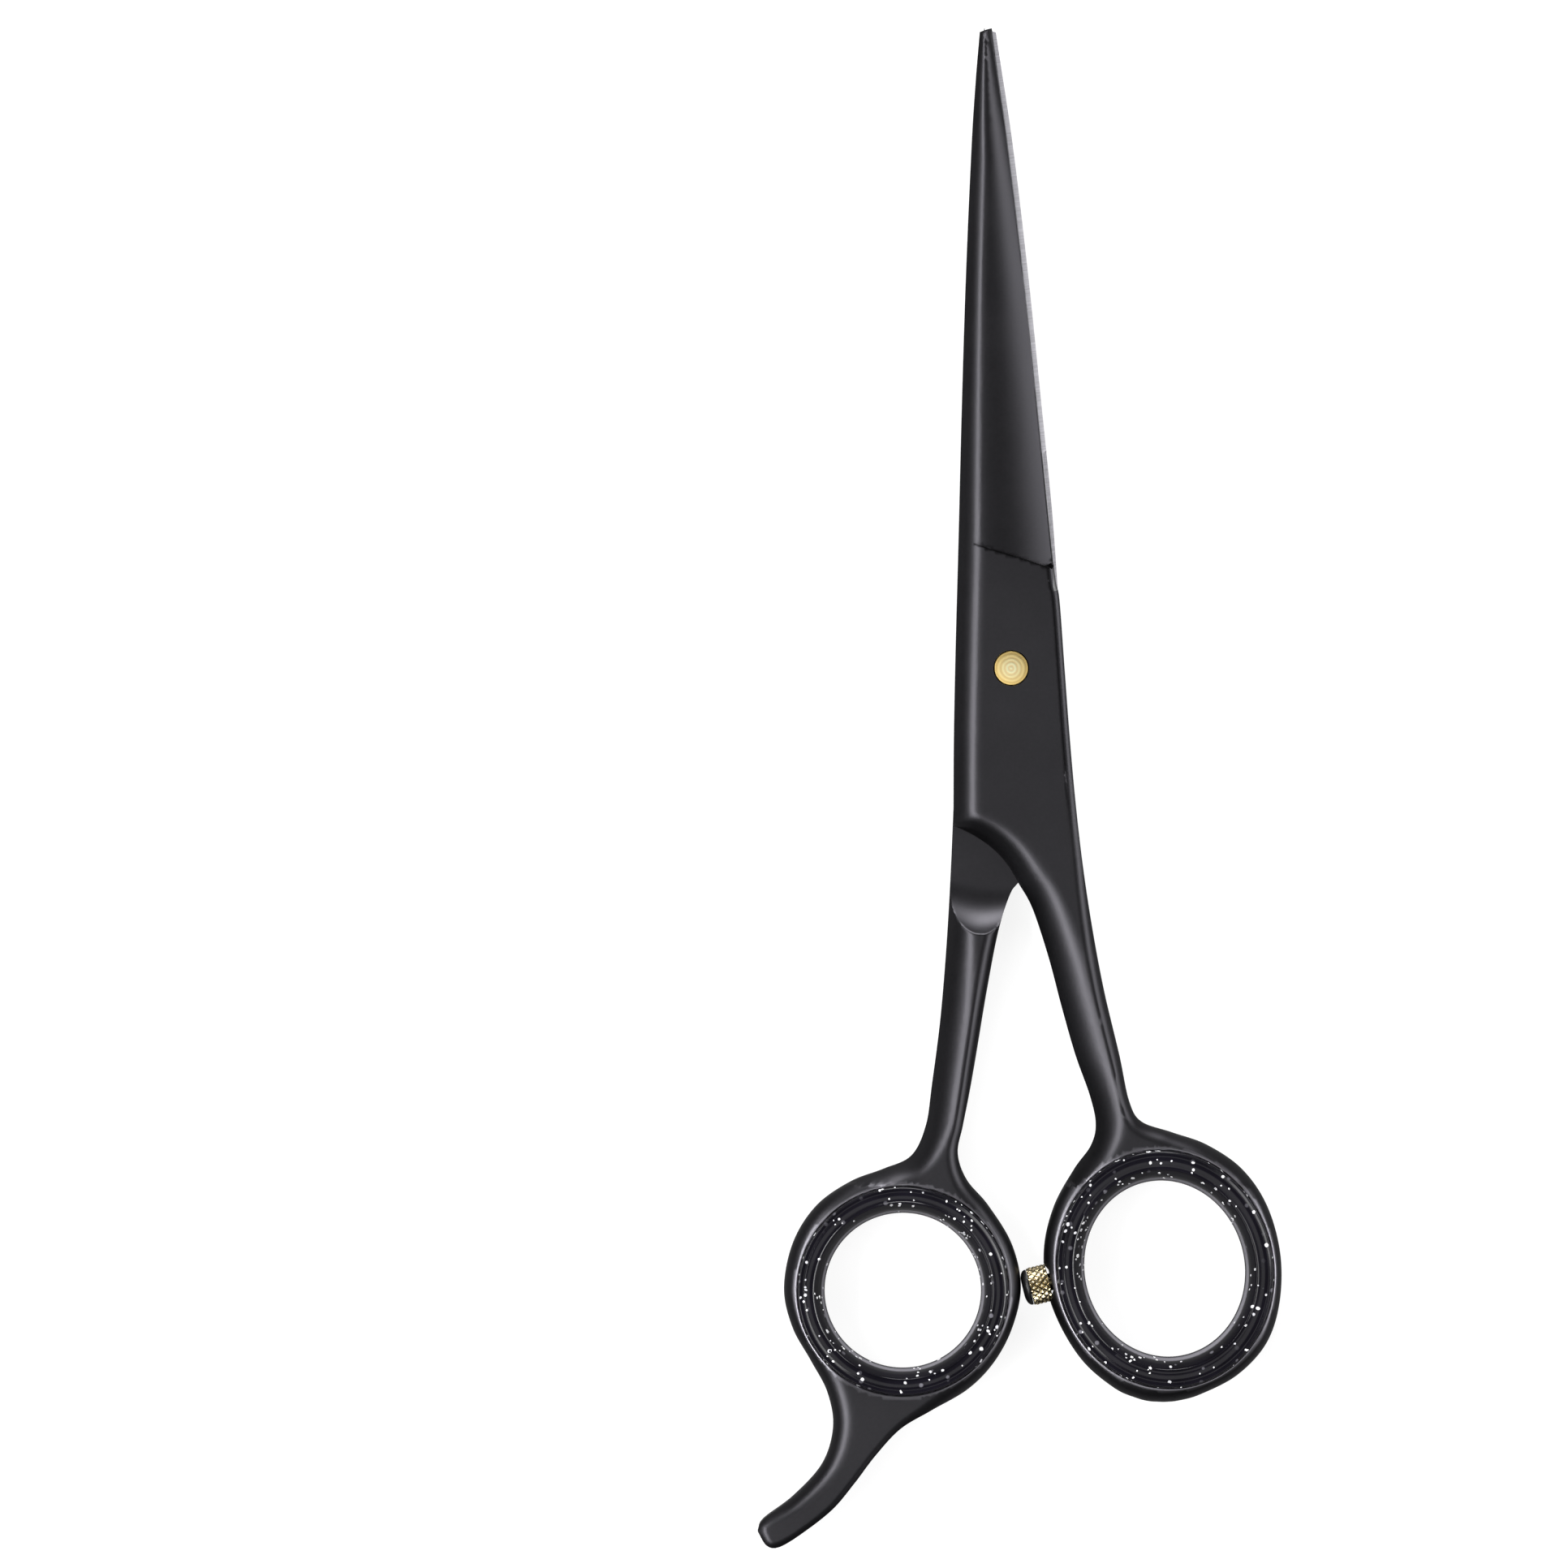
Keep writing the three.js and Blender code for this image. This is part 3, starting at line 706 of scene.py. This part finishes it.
def bare_steel(colour, handling, turn):
    """Bright steel brushed across the blade, with a finer honed strip along the edge; the strip is real,
    its near-white, mostly non-metallic colour a painted sheen.
    """
    tree = Finish("bare_steel")
    across = tree.mapped((60, 5200, 400), turn)
    fine = tree.mapped((140, 16000, 900), turn)
    strokes = tree.math("ADD", tree.noise(across, 1, 3, .6), tree.noise(fine, 1, 2, .6))
    strokes = tree.math("MULTIPLY", strokes, .5)
    from_edge = tree.kept("from_edge")
    honed = tree.ramp(from_edge, .68, .6)
    brushed = tree.mix(tree.ramp(strokes, .38, .62), times(colour, .8), times(colour, 1.12))
    # Painted sheen: the honed strip is painted near-white and made mostly non-metallic, so it shows
    # bright from any side.
    bright = tree.mix(honed, brushed, (.99, .99, 1))
    base = tree.mix(tree.ramp(from_edge, .17, .11), bright, (.3, .3, .31))
    rough, _ = tree.handled(handling, tree.mapped(), .3, .03)
    height = tree.math("MULTIPLY", strokes, tree.math("SUBTRACT", 1.0, honed))
    tree.shade({"Base Color": base,
                "Roughness": tree.math("SUBTRACT", rough, tree.math("MULTIPLY", honed, .18)),
                "Metallic": tree.math("SUBTRACT", 1.0, tree.math("MULTIPLY", honed, .75)),
                "Normal": tree.bump(height, .000012, .6)})


def turned_brass(colour, handling, centre, ring_pitch):
    """Brass off the lathe, with fine tool marks round the centre of its end face."""
    tree = Finish("turned_brass")
    place = tree.mapped(place=centre)
    split = tree.add("SeparateXYZ", {"Vector": place})
    squares = [tree.math("MULTIPLY", split[axis], split[axis]) for axis in "XY"]
    radius = tree.math("SQRT", tree.math("ADD", *squares))
    wavy = tree.math("ADD", radius, tree.math("MULTIPLY", tree.noise(place, 700, 2), .22 * MM))
    marks = tree.math("SINE", tree.math("MULTIPLY", wavy, 2 * math.pi / ring_pitch))
    marks = tree.ramp(marks, -1, 1)
    pale = tree.ramp(radius, 1.9 * MM, .4 * MM)
    raised = tree.mix(pale, times(colour, 1.12), times(colour, (1.24, 1.5, 2.6)))
    sunk = tree.mix(pale, times(colour, .84), times(colour, (1.05, 1.16, 1.7)))
    rough, _ = tree.handled(handling, tree.mapped(), .3, .06)
    tree.shade({"Base Color": tree.mix(marks, sunk, raised), "Roughness": rough, "Metallic": 1.0,
                "Normal": tree.bump(marks, .00001, .5)})


def knurled_brass(colour, handling):
    """Pale gold brass, with painted shade darkening the bottoms of the knurl."""
    tree = Finish("knurled_brass")
    rough, _ = tree.handled(handling, tree.mapped(), .26, .08)
    # Painted shade: the knurl's grooves darkened to about an eighth of the brass colour.
    crest = tree.ramp(tree.kept("knurl"), .15, .6)
    tree.shade({"Base Color": tree.mix(crest, times(colour, .12), colour), "Roughness": rough,
                "Metallic": 1.0})


def glitter_plastic(colour, handling):
    """Glossy smoked plastic with dim specks below its surface, and a painted pale band of light round the
    inner wall of its bore.
    """
    tree = Finish("glitter_plastic")
    place = tree.mapped()
    rough, _ = tree.handled(handling, place, .16, .03)
    distance, red, green, _ = tree.cells(place, 950)
    speck = tree.math("MULTIPLY", tree.ramp(red, .76, .78), tree.ramp(distance, .3, .18))
    speck = tree.math("MULTIPLY", speck, green)
    smoke = tree.mix(tree.ramp(tree.noise(place, 220, 3), .3, .7), colour, times(colour, 1.8))
    # Painted light: the bore's inner wall is painted pale, standing in for the light on it.
    lit = tree.mix(tree.kept("thin"), smoke, (.34, .33, .37))
    tree.shade({"Base Color": tree.mix(speck, lit, (.17, .165, .19)), "Roughness": rough,
                "Specular IOR Level": .26, "Coat Weight": .08, "Coat Roughness": .05})


def silver_flake():
    """Silver flakes, each a little brighter or duller than the next."""
    tree = Finish("silver_flake")
    blue = tree.cells(tree.mapped(), 500)[-1]
    tree.shade({"Base Color": tree.mix(blue, (.62, .62, .66), (.97, .97, .98)), "Metallic": .25,
                "Roughness": .38})


def plain_finish(name, colour, handling, roughness, metallic, amount, grain, depth):
    """A moulded or stamped finish with uneven gloss and a fine texture."""
    tree = Finish(name)
    place = tree.mapped()
    rough, mask = tree.handled(handling, place, roughness, amount)
    base = tree.mix(tree.ramp(mask, .3, .7), times(colour, .85), times(colour, 1.15))
    tree.shade({"Base Color": base, "Roughness": rough, "Metallic": metallic,
                "Normal": tree.bump(tree.noise(place, grain, 3), depth, .5)})


# ---------- settings ----------

def colour_setting(name, default, description):
    return FloatVectorProperty(name=name, description=description, default=default, size=3,
                               subtype="COLOR", min=0, max=1)


def length_setting(name, default, description, **limits):
    return FloatProperty(name=name, description=description, default=default, unit="LENGTH", **limits)


def power_setting(name, default, description):
    return FloatProperty(name=name, description=description, default=default, unit="POWER")


class ShearsFinishes(bpy.types.PropertyGroup):
    coating: colour_setting("Coating", (.039, .038, .042), "Reflection colour of the black coating")
    steel: colour_setting("Bare steel", (.74, .73, .78), "Colour of the ground ride faces")
    brass: colour_setting("Brass", (.9, .65, .235), "Colour of the pivot screw")
    knurl: colour_setting("Knurled brass", (.93, .78, .48), "Colour of the bumper's barrel")
    plastic: colour_setting("Insert plastic", (.0034, .003, .005), "Colour of the ring inserts")
    rubber: colour_setting("Rubber", (.0025, .0025, .0028), "Colour of the bumper's tip")
    nylon: colour_setting("Nylon", (.75, .72, .64), "Colour of the pivot bushing")
    spring: colour_setting("Spring steel", (.55, .56, .58), "Colour of the tension washer")


class ShearsSizes(bpy.types.PropertyGroup):
    outline_step: length_setting(
        "Outline step", .4 * MM, "Spacing of the points along a forged half's outline", min=.1 * MM)
    round_steps: IntProperty(
        name="Round steps", description="Facets round each turned piece", default=144, min=24)
    knurl_starts: IntProperty(
        name="Knurl starts", description="Grooves each way round the bumper's barrel", default=18, min=8)
    knurl_depth: length_setting("Knurl depth", .24 * MM, "Depth of the knurl's grooves", min=0)
    flakes: IntProperty(
        name="Flakes", description="Bright flakes on each face of a ring insert", default=150, min=0)
    flake_size: length_setting("Flake size", .56 * MM, "Width of the largest flakes", min=0)


class ShearsStage(bpy.types.PropertyGroup):
    view_width: length_setting("View width", .18862, "Width that the camera takes in")
    camera_height: length_setting("Camera height", 1.6, "Height of the camera above the floor")
    left_power: power_setting("Left light", 5.4, "Power of the left softbox")
    right_power: power_setting("Right light", 4.5, "Power of the right softbox")
    top_power: power_setting("Top light", 2.7, "Power of the light above the camera")
    far_power: power_setting("Far light", 6.5, "Power of the softbox beyond the tips")
    heel_power: power_setting("Heel light", 1.7, "Power of the small softbox below and to the left")
    surround: FloatProperty(
        name="Surround", description="Brightness of the room round the stage", default=.075)


# ---------- pieces ----------

FORGED = ("coated_steel", "bare_steel")


def mirrored(ring):
    return dict(ring, x=-ring["x"], turn=-ring["turn"])


def half_piece(name, lines, ring, spacing, turn_over):
    mesh, plan = half_mesh(name, lines, ring, spacing)
    piece = link_mesh(name, mesh)
    count = len(plan.points)
    bare = []
    for face in mesh.polygons:
        corners = [mesh.vertices[i].co for i in face.vertices]
        ridden = all(i >= count for i in face.vertices)
        bare.append(int(ridden and all(co.y > RIDE_END and -.2 < co.z < .45 for co in corners)))
    mesh.polygons.foreach_set("material_index", bare)
    if turn_over:
        mesh.transform(Matrix.Rotation(math.pi, 4, "Y"))
    return piece


def bumper_place():
    """From a shape made about Z to its place on the bumper's axis."""
    turn = Vector((0, 0, 1)).rotation_difference(BUMPER_OUT).to_matrix().to_4x4()
    return Matrix.Translation((BUMPER_FOOT - PIVOT) / MM) @ turn


def bore(piece, radius, low, high, steps):
    """Drills a piece along the bumper's axis, from one height to another."""
    clear_selection()
    bpy.ops.mesh.primitive_cylinder_add(vertices=steps, radius=radius, depth=high - low)
    drill = bpy.context.object
    drill.data.transform(bumper_place() @ Matrix.Translation((0, 0, (low + high) / 2)))
    cut_with(piece, drill)


class SHEARS_OT_halves(bpy.types.Operator):
    """Makes the thumb half and the finger half"""
    bl_idname = "shears.halves"
    bl_label = "Forged Halves"

    def execute(self, context):
        spacing = context.scene.shears_sizes.outline_step / MM
        thumb = half_piece("thumb_half_forged", THUMB, THUMB_RING, spacing, False)
        bore(thumb, BARREL_RECESS, -.3, 3, 96)
        bore(thumb, STUD_HOLE, -3.2, 0, 32)
        finger = half_piece("finger_half_forged", FINGER, mirrored(FINGER_RING), spacing, True)
        for piece, name in ((thumb, "thumb"), (finger, "finger")):
            smooth(piece, 32)
            finish_piece(piece, FORGED, name + "_body", name + "_half")
        return {"FINISHED"}


class SHEARS_OT_pivot(bpy.types.Operator):
    """Makes the slotted pivot screw, its tension washer and its bushing"""
    bl_idname = "shears.pivot"
    bl_label = "Pivot"

    def execute(self, context):
        steps = context.scene.shears_sizes.round_steps
        under_head = WASHER_LOW - .05
        screw = revolve("pivot_screw_turned", [
            (0, HEAD_LOW), (HEAD_RADIUS - .3, HEAD_LOW)]
            + arc((HEAD_RADIUS - .3, HEAD_LOW + .3), .3, -90, 0, 5)[1:]
            + arc((HEAD_RADIUS - .12, under_head - .12), .12, 0, 90, 3)
            + [(SCREW_RADIUS, under_head)]
            + raised(FACE, (SCREW_RADIUS, -.25), (SCREW_RADIUS - .04, -.2), (SCREW_RADIUS - .04, -.02),
                     (SCREW_RADIUS - .07, .015), (1.8, .035), (1.4, .055), (1.0, .07), (.5, .08),
                     (0, .084)), steps)
        clear_selection()
        bpy.ops.mesh.primitive_cube_add(size=1, location=(0, 0, HEAD_LOW),
                                        scale=(1, 3 * HEAD_RADIUS, 1.4))
        slot = context.object
        cut_with(screw, slot)
        washer = revolve("tension_washer_pressed", raised(
            WASHER_LOW, (WASHER_RADIUS, 0), (WASHER_RADIUS, .13), (WASHER_RADIUS - .04, .16),
            (SCREW_RADIUS + .29, .3), (SCREW_RADIUS + .25, .27), (SCREW_RADIUS + .25, .15)), steps)
        bushing = revolve("pivot_bushing_moulded", raised(
            BUSHING_LOW, (SCREW_HOLE, 0), (BUSHING_RADIUS - .08, 0), (BUSHING_RADIUS, .08),
            (BUSHING_RADIUS, .27), (BUSHING_RADIUS - .08, .35), (BUSHING_HOLE - .1, .35))
            + [(BUSHING_HOLE - .1, -.2), (BUSHING_HOLE - .2, -.1), (SCREW_HOLE, -.1)], steps)
        for piece, surface, body, node in ((screw, "turned_brass", "screw_body", "pivot_screw"),
                                           (washer, "spring_steel", "finger_body", "tension_washer"),
                                           (bushing, "nylon", "finger_body", "pivot_bushing")):
            smooth(piece, 30)
            finish_piece(piece, [surface], body, node)
        return {"FINISHED"}


def insert_profile():
    """One ring insert's section: flanges above and below, with a fine bead round each."""
    face, under = INSERT_FACE, SEAT_SHELF + .1
    upper = [(11.2, under), (12.58, under), (12.62, under + .05), (12.62, face - .28)]
    upper += arc((12.44, face - .14), .14, 30, 110, 4)
    upper += raised(face, (12.26, -.06), (12.1, -.11), (11.98, -.12), (11.86, -.07), (11.65, -.03),
                    (11.4, -.02), (11.15, -.05), (10.9, -.1))
    upper += arc((10.72, face - .1), .1, 80, 150, 4)
    upper += raised(face, (10.45, -.42), (10.2, -.8), (10.0, -1.25), (9.86, -1.75), (9.72, -2.3),
                    (9.56, -2.9), (9.44, -3.3)) + [(9.4, .2)]
    lower = [(radius, -height) for radius, height in reversed(upper)]
    return lower + upper


def ring_matrix(ring):
    stretch = Matrix.Diagonal((ring["across"], ring["along"], 1, 1))
    return Matrix.Translation((ring["x"], ring["y"], 0)) @ Matrix.Rotation(ring["turn"], 4, "Z") @ stretch


def flake_shape():
    """The corners and faces of one thin disc, a little narrower on top."""
    clear_selection()
    bpy.ops.mesh.primitive_circle_add(vertices=10, radius=1, fill_type="NGON")
    flake = bpy.context.object
    bpy.ops.object.mode_set(mode="EDIT")
    bpy.ops.mesh.select_all(action="SELECT")
    bpy.ops.mesh.extrude_region_move(TRANSFORM_OT_translate={"value": (0, 0, .05)})
    bpy.ops.transform.resize(value=(.86, .86, 1))
    bpy.ops.mesh.select_all(action="SELECT")
    bpy.ops.mesh.normals_make_consistent(inside=False)
    bpy.ops.object.mode_set(mode="OBJECT")
    corners = [vertex.co.copy() for vertex in flake.data.vertices]
    sides = [list(face.vertices) for face in flake.data.polygons]
    bpy.data.objects.remove(flake)
    return corners, sides


def add_flakes(name, ring, count, size, seed):
    """Thin silver discs let into both faces of an insert, unevenly spread."""
    random = np.random.default_rng(seed)
    profile = np.array(insert_profile())
    upper = profile[len(profile) // 2 + 2:]
    run = np.concatenate([[0], np.cumsum(np.linalg.norm(np.diff(upper, axis=0), axis=1))])
    oval_matrix = ring_matrix(ring)
    corners, sides = flake_shape()
    points, faces = [], []
    clusters = random.uniform(0, 2 * math.pi, 16)
    for side in (1, -1):
        for _ in range(count):
            gathered = random.random() < .45
            angle = random.uniform(0, 2 * math.pi)
            if gathered:
                angle = random.choice(clusters) + random.normal(0, .09)
            along = run[-1] * min(.97, random.beta(1.3, 1.9) + .03)
            place = np.array([np.interp(along, run, upper[:, i]) for i in (0, 1)])
            ahead = np.array([np.interp(min(along + .05, run[-1]), run, upper[:, i]) for i in (0, 1)])
            slope = ahead - place
            normal = np.array([slope[1], -slope[0]])
            normal /= np.linalg.norm(normal) + 1e-9
            c, s = math.cos(angle), math.sin(angle)
            centre = Vector((place[0] * c, place[0] * s, side * place[1]))
            out = Vector((normal[0] * c, normal[0] * s, side * normal[1]))
            out = (out + Vector(random.normal(0, .07, 3))).normalized()
            radius = size / 2 * (.35 + .65 * random.random() ** 1.6)
            turn = Vector((0, 0, 1)).rotation_difference(out).to_matrix().to_4x4()
            spun = Matrix.Rotation(random.uniform(0, 2 * math.pi), 4, "Z")
            shape = Matrix.Diagonal((radius, radius * random.uniform(.7, 1), 1, 1))
            stand = Matrix.Translation(oval_matrix @ centre) @ turn @ spun @ shape
            faces += [[len(points) + corner for corner in face] for face in sides]
            points += [stand @ corner for corner in corners]
    for point in points:
        point.z = max(-INSERT_FACE, min(INSERT_FACE, point.z))
    mesh = bpy.data.meshes.new(name)
    mesh.from_pydata(points, [], faces)
    return link_mesh(name, mesh)


class SHEARS_OT_inserts(bpy.types.Operator):
    """Makes the two ring inserts and the flakes in them"""
    bl_idname = "shears.inserts"
    bl_label = "Ring Inserts"

    def execute(self, context):
        sizes = context.scene.shears_sizes
        plan = (("finger", FINGER_RING, "finger_body", 11), ("thumb", THUMB_RING, "thumb_body", 23))
        for name, ring, body, seed in plan:
            insert = revolve(name + "_insert_moulded", insert_profile(), sizes.round_steps + 48)
            radii = [math.hypot(vertex.co.x, vertex.co.y) for vertex in insert.data.vertices]
            # Marks where the painted band of light on the bore's inner wall goes.
            keep(insert.data, "thin", [max(0.0, 1 - abs(r - BORE_LIGHT_RADIUS) / BORE_LIGHT_REACH) for r in radii])
            insert.data.transform(ring_matrix(ring))
            smooth(insert, 40)
            flakes = add_flakes(name + "_insert_flakes", ring, sizes.flakes, sizes.flake_size / MM, seed)
            for piece, surface in ((insert, "glitter_plastic"), (flakes, "silver_flake")):
                finish_piece(piece, [surface], body, name + "_insert")
        return {"FINISHED"}


def knurl(piece, starts, depth):
    """Presses crossed helical grooves into a barrel, and keeps their depth on the piece."""
    pressed = []
    for vertex in piece.data.vertices:
        radius = math.hypot(vertex.co.x, vertex.co.y)
        height = 0.0
        if radius > BARREL_RADIUS - .25 and .02 < vertex.co.z < BARREL_LENGTH - .02:
            angle = math.atan2(vertex.co.y, vertex.co.x)
            twist = vertex.co.z * math.tan(math.radians(40)) / BARREL_RADIUS
            turns = [(angle + lean * twist) * starts / (2 * math.pi) for lean in (1, -1)]
            height = min(1, 1.25 * min(1 - abs(turn % 1 - .5) * 2 for turn in turns))
            shrink = 1 - depth * (1 - height) / radius
            vertex.co.x *= shrink
            vertex.co.y *= shrink
        pressed.append(height)
    keep(piece.data, "knurl", pressed)


class SHEARS_OT_bumper(bpy.types.Operator):
    """Makes the knurled bumper barrel and its rubber tip"""
    bl_idname = "shears.bumper"
    bl_label = "Closing Bumper"

    def execute(self, context):
        sizes = context.scene.shears_sizes
        rows = [(BARREL_RADIUS, .12 + i * (BARREL_LENGTH - .24) / 40) for i in range(41)]
        barrel = revolve("bumper_barrel_knurled", [
            (0, -STUD_LENGTH), (STUD_RADIUS - .15, -STUD_LENGTH), (STUD_RADIUS, -STUD_LENGTH + .15),
            (STUD_RADIUS, 0), (BARREL_RADIUS - .12, 0)] + rows
            + raised(BARREL_LENGTH, (BARREL_RADIUS - .12, 0), (1.0, 0), (1.0, -1.3), (0, -1.3)),
            sizes.knurl_starts * 12)
        knurl(barrel, sizes.knurl_starts, sizes.knurl_depth / MM)
        low = BARREL_LENGTH + .05
        dome = [(TIP_RADIUS - 1.3 * (1 - math.cos(a)), low + .15 + .7 * math.sin(a))
                for a in (i * math.pi / 24 for i in range(13))]
        tip = revolve("bumper_tip_moulded", [
            (0, BARREL_LENGTH - 1.2), (.85, BARREL_LENGTH - 1.2), (.9, BARREL_LENGTH - 1.15), (.9, low),
            (TIP_RADIUS - .05, low), (TIP_RADIUS, low + .05)] + dome + [(0, low + .85)], 96)
        for piece, angle, surface, body, node, slot_name in (
                (barrel, 24, "knurled_brass", "barrel_body", "bumper_barrel", "turned_brass"),
                (tip, 40, "rubber", "bumper_body", "bumper_tip", "rubber")):
            smooth(piece, angle)
            piece.data.transform(bumper_place())
            finish_piece(piece, [surface], body, node)
        return {"FINISHED"}


class SHEARS_OT_finishes(bpy.types.Operator):
    """Makes the shears' materials from the finish settings"""
    bl_idname = "shears.finishes"
    bl_label = "Finishes"

    def execute(self, context):
        chosen = context.scene.shears_finishes
        handling = handling_group()
        coated_steel(chosen.coating, handling)
        bare_steel(chosen.steel, handling, math.radians(8))
        turned_brass(chosen.brass, handling, PIVOT, .5 * MM)
        knurled_brass(chosen.knurl, handling)
        glitter_plastic(chosen.plastic, handling)
        silver_flake()
        plain_finish("rubber", chosen.rubber, handling, .42, 0, .1, 1800, .00001)
        plain_finish("nylon", chosen.nylon, handling, .5, 0, .08, 900, .00001)
        plain_finish("spring_steel", chosen.spring, handling, .28, 1, .08, 1400, .000004)
        return {"FINISHED"}


def softbox(name, power, angle, heading, distance, size, target):
    """A rectangular light at an angle from straight up, facing the shears."""
    light = bpy.data.lights.new(name, "AREA")
    light.shape = "RECTANGLE"
    light.size, light.size_y = size
    light.energy = power
    lamp = bpy.data.objects.new(name, light)
    lean, turn = math.radians(angle), math.radians(heading)
    away = Vector((math.sin(lean) * math.cos(turn), math.sin(lean) * math.sin(turn), math.cos(lean)))
    lamp.location = PIVOT + Vector(target) + away * distance
    lamp.rotation_euler = away.to_track_quat("Z", "Y").to_euler()
    bpy.context.scene.collection.objects.link(lamp)


class SHEARS_OT_stage(bpy.types.Operator):
    """Makes the pale floor, the soft lights and the camera straight above"""
    bl_idname = "shears.stage"
    bl_label = "Stage"

    def execute(self, context):
        settings = context.scene.shears_stage
        middle = PIVOT + VIEW_MIDDLE
        clear_selection()
        bpy.ops.mesh.primitive_plane_add(size=6, location=(0, 0, -FLOOR_GAP))
        floor = context.object
        floor.name = "floor"
        tree = Finish("floor")
        seen = tree.add("LightPath", {})["Is Camera Ray"]
        tree.shade({"Base Color": (.2, .2, .2, 1), "Roughness": .8, "Emission Color": (1, 1, 1, 1),
                    "Emission Strength": tree.math("MULTIPLY", seen, .87)})
        floor.data.materials.append(tree.surface)
        for name, plan in SOFTBOXES.items():
            softbox(name + "_softbox", getattr(settings, name + "_power"), *plan)
        world = bpy.data.worlds.new("surround")
        world.use_nodes = True
        backdrop = world.node_tree.nodes["Background"]
        backdrop.inputs["Color"].default_value = (1, 1, 1, 1)
        backdrop.inputs["Strength"].default_value = settings.surround
        context.scene.world = world
        camera = bpy.data.objects.new("camera", bpy.data.cameras.new("camera"))
        camera.data.sensor_width = SENSOR
        camera.data.lens = SENSOR * (settings.camera_height - PIVOT.z) / settings.view_width
        camera.data.clip_start, camera.data.clip_end = .01, 20
        camera.location = (middle.x, middle.y, settings.camera_height)
        context.scene.collection.objects.link(camera)
        context.scene.camera = camera
        context.scene.view_settings.view_transform = "Standard"
        return {"FINISHED"}


class SHEARS_PT_panel(bpy.types.Panel):
    """Lists the settings and the pieces"""
    bl_idname = "SHEARS_PT_panel"
    bl_label = "Hair Cutting Shears"
    bl_space_type = "VIEW_3D"
    bl_region_type = "UI"
    bl_category = "Shears"

    def draw(self, context):
        scene = context.scene
        for group in (scene.shears_sizes, scene.shears_finishes, scene.shears_stage):
            box = self.layout.box()
            for name in group.__annotations__:
                box.prop(group, name)
        for operator in PIECE_OPERATORS:
            self.layout.operator(operator.bl_idname)


SETTINGS = {"shears_sizes": ShearsSizes, "shears_finishes": ShearsFinishes, "shears_stage": ShearsStage}
PIECE_OPERATORS = (SHEARS_OT_finishes, SHEARS_OT_halves, SHEARS_OT_pivot, SHEARS_OT_inserts,
                   SHEARS_OT_bumper, SHEARS_OT_stage)
CLASSES = (*SETTINGS.values(), *PIECE_OPERATORS, SHEARS_PT_panel)


def register():
    for each in CLASSES:
        bpy.utils.register_class(each)
    for name, group in SETTINGS.items():
        setattr(bpy.types.Scene, name, PointerProperty(type=group))


def unregister():
    for name in SETTINGS:
        delattr(bpy.types.Scene, name)
    for each in reversed(CLASSES):
        bpy.utils.unregister_class(each)


def main():
    register()
    bpy.ops.shears.finishes()
    bpy.ops.shears.halves()
    bpy.ops.shears.pivot()
    bpy.ops.shears.inserts()
    bpy.ops.shears.bumper()
    bpy.ops.shears.stage()


if __name__ == "__main__":
    main()
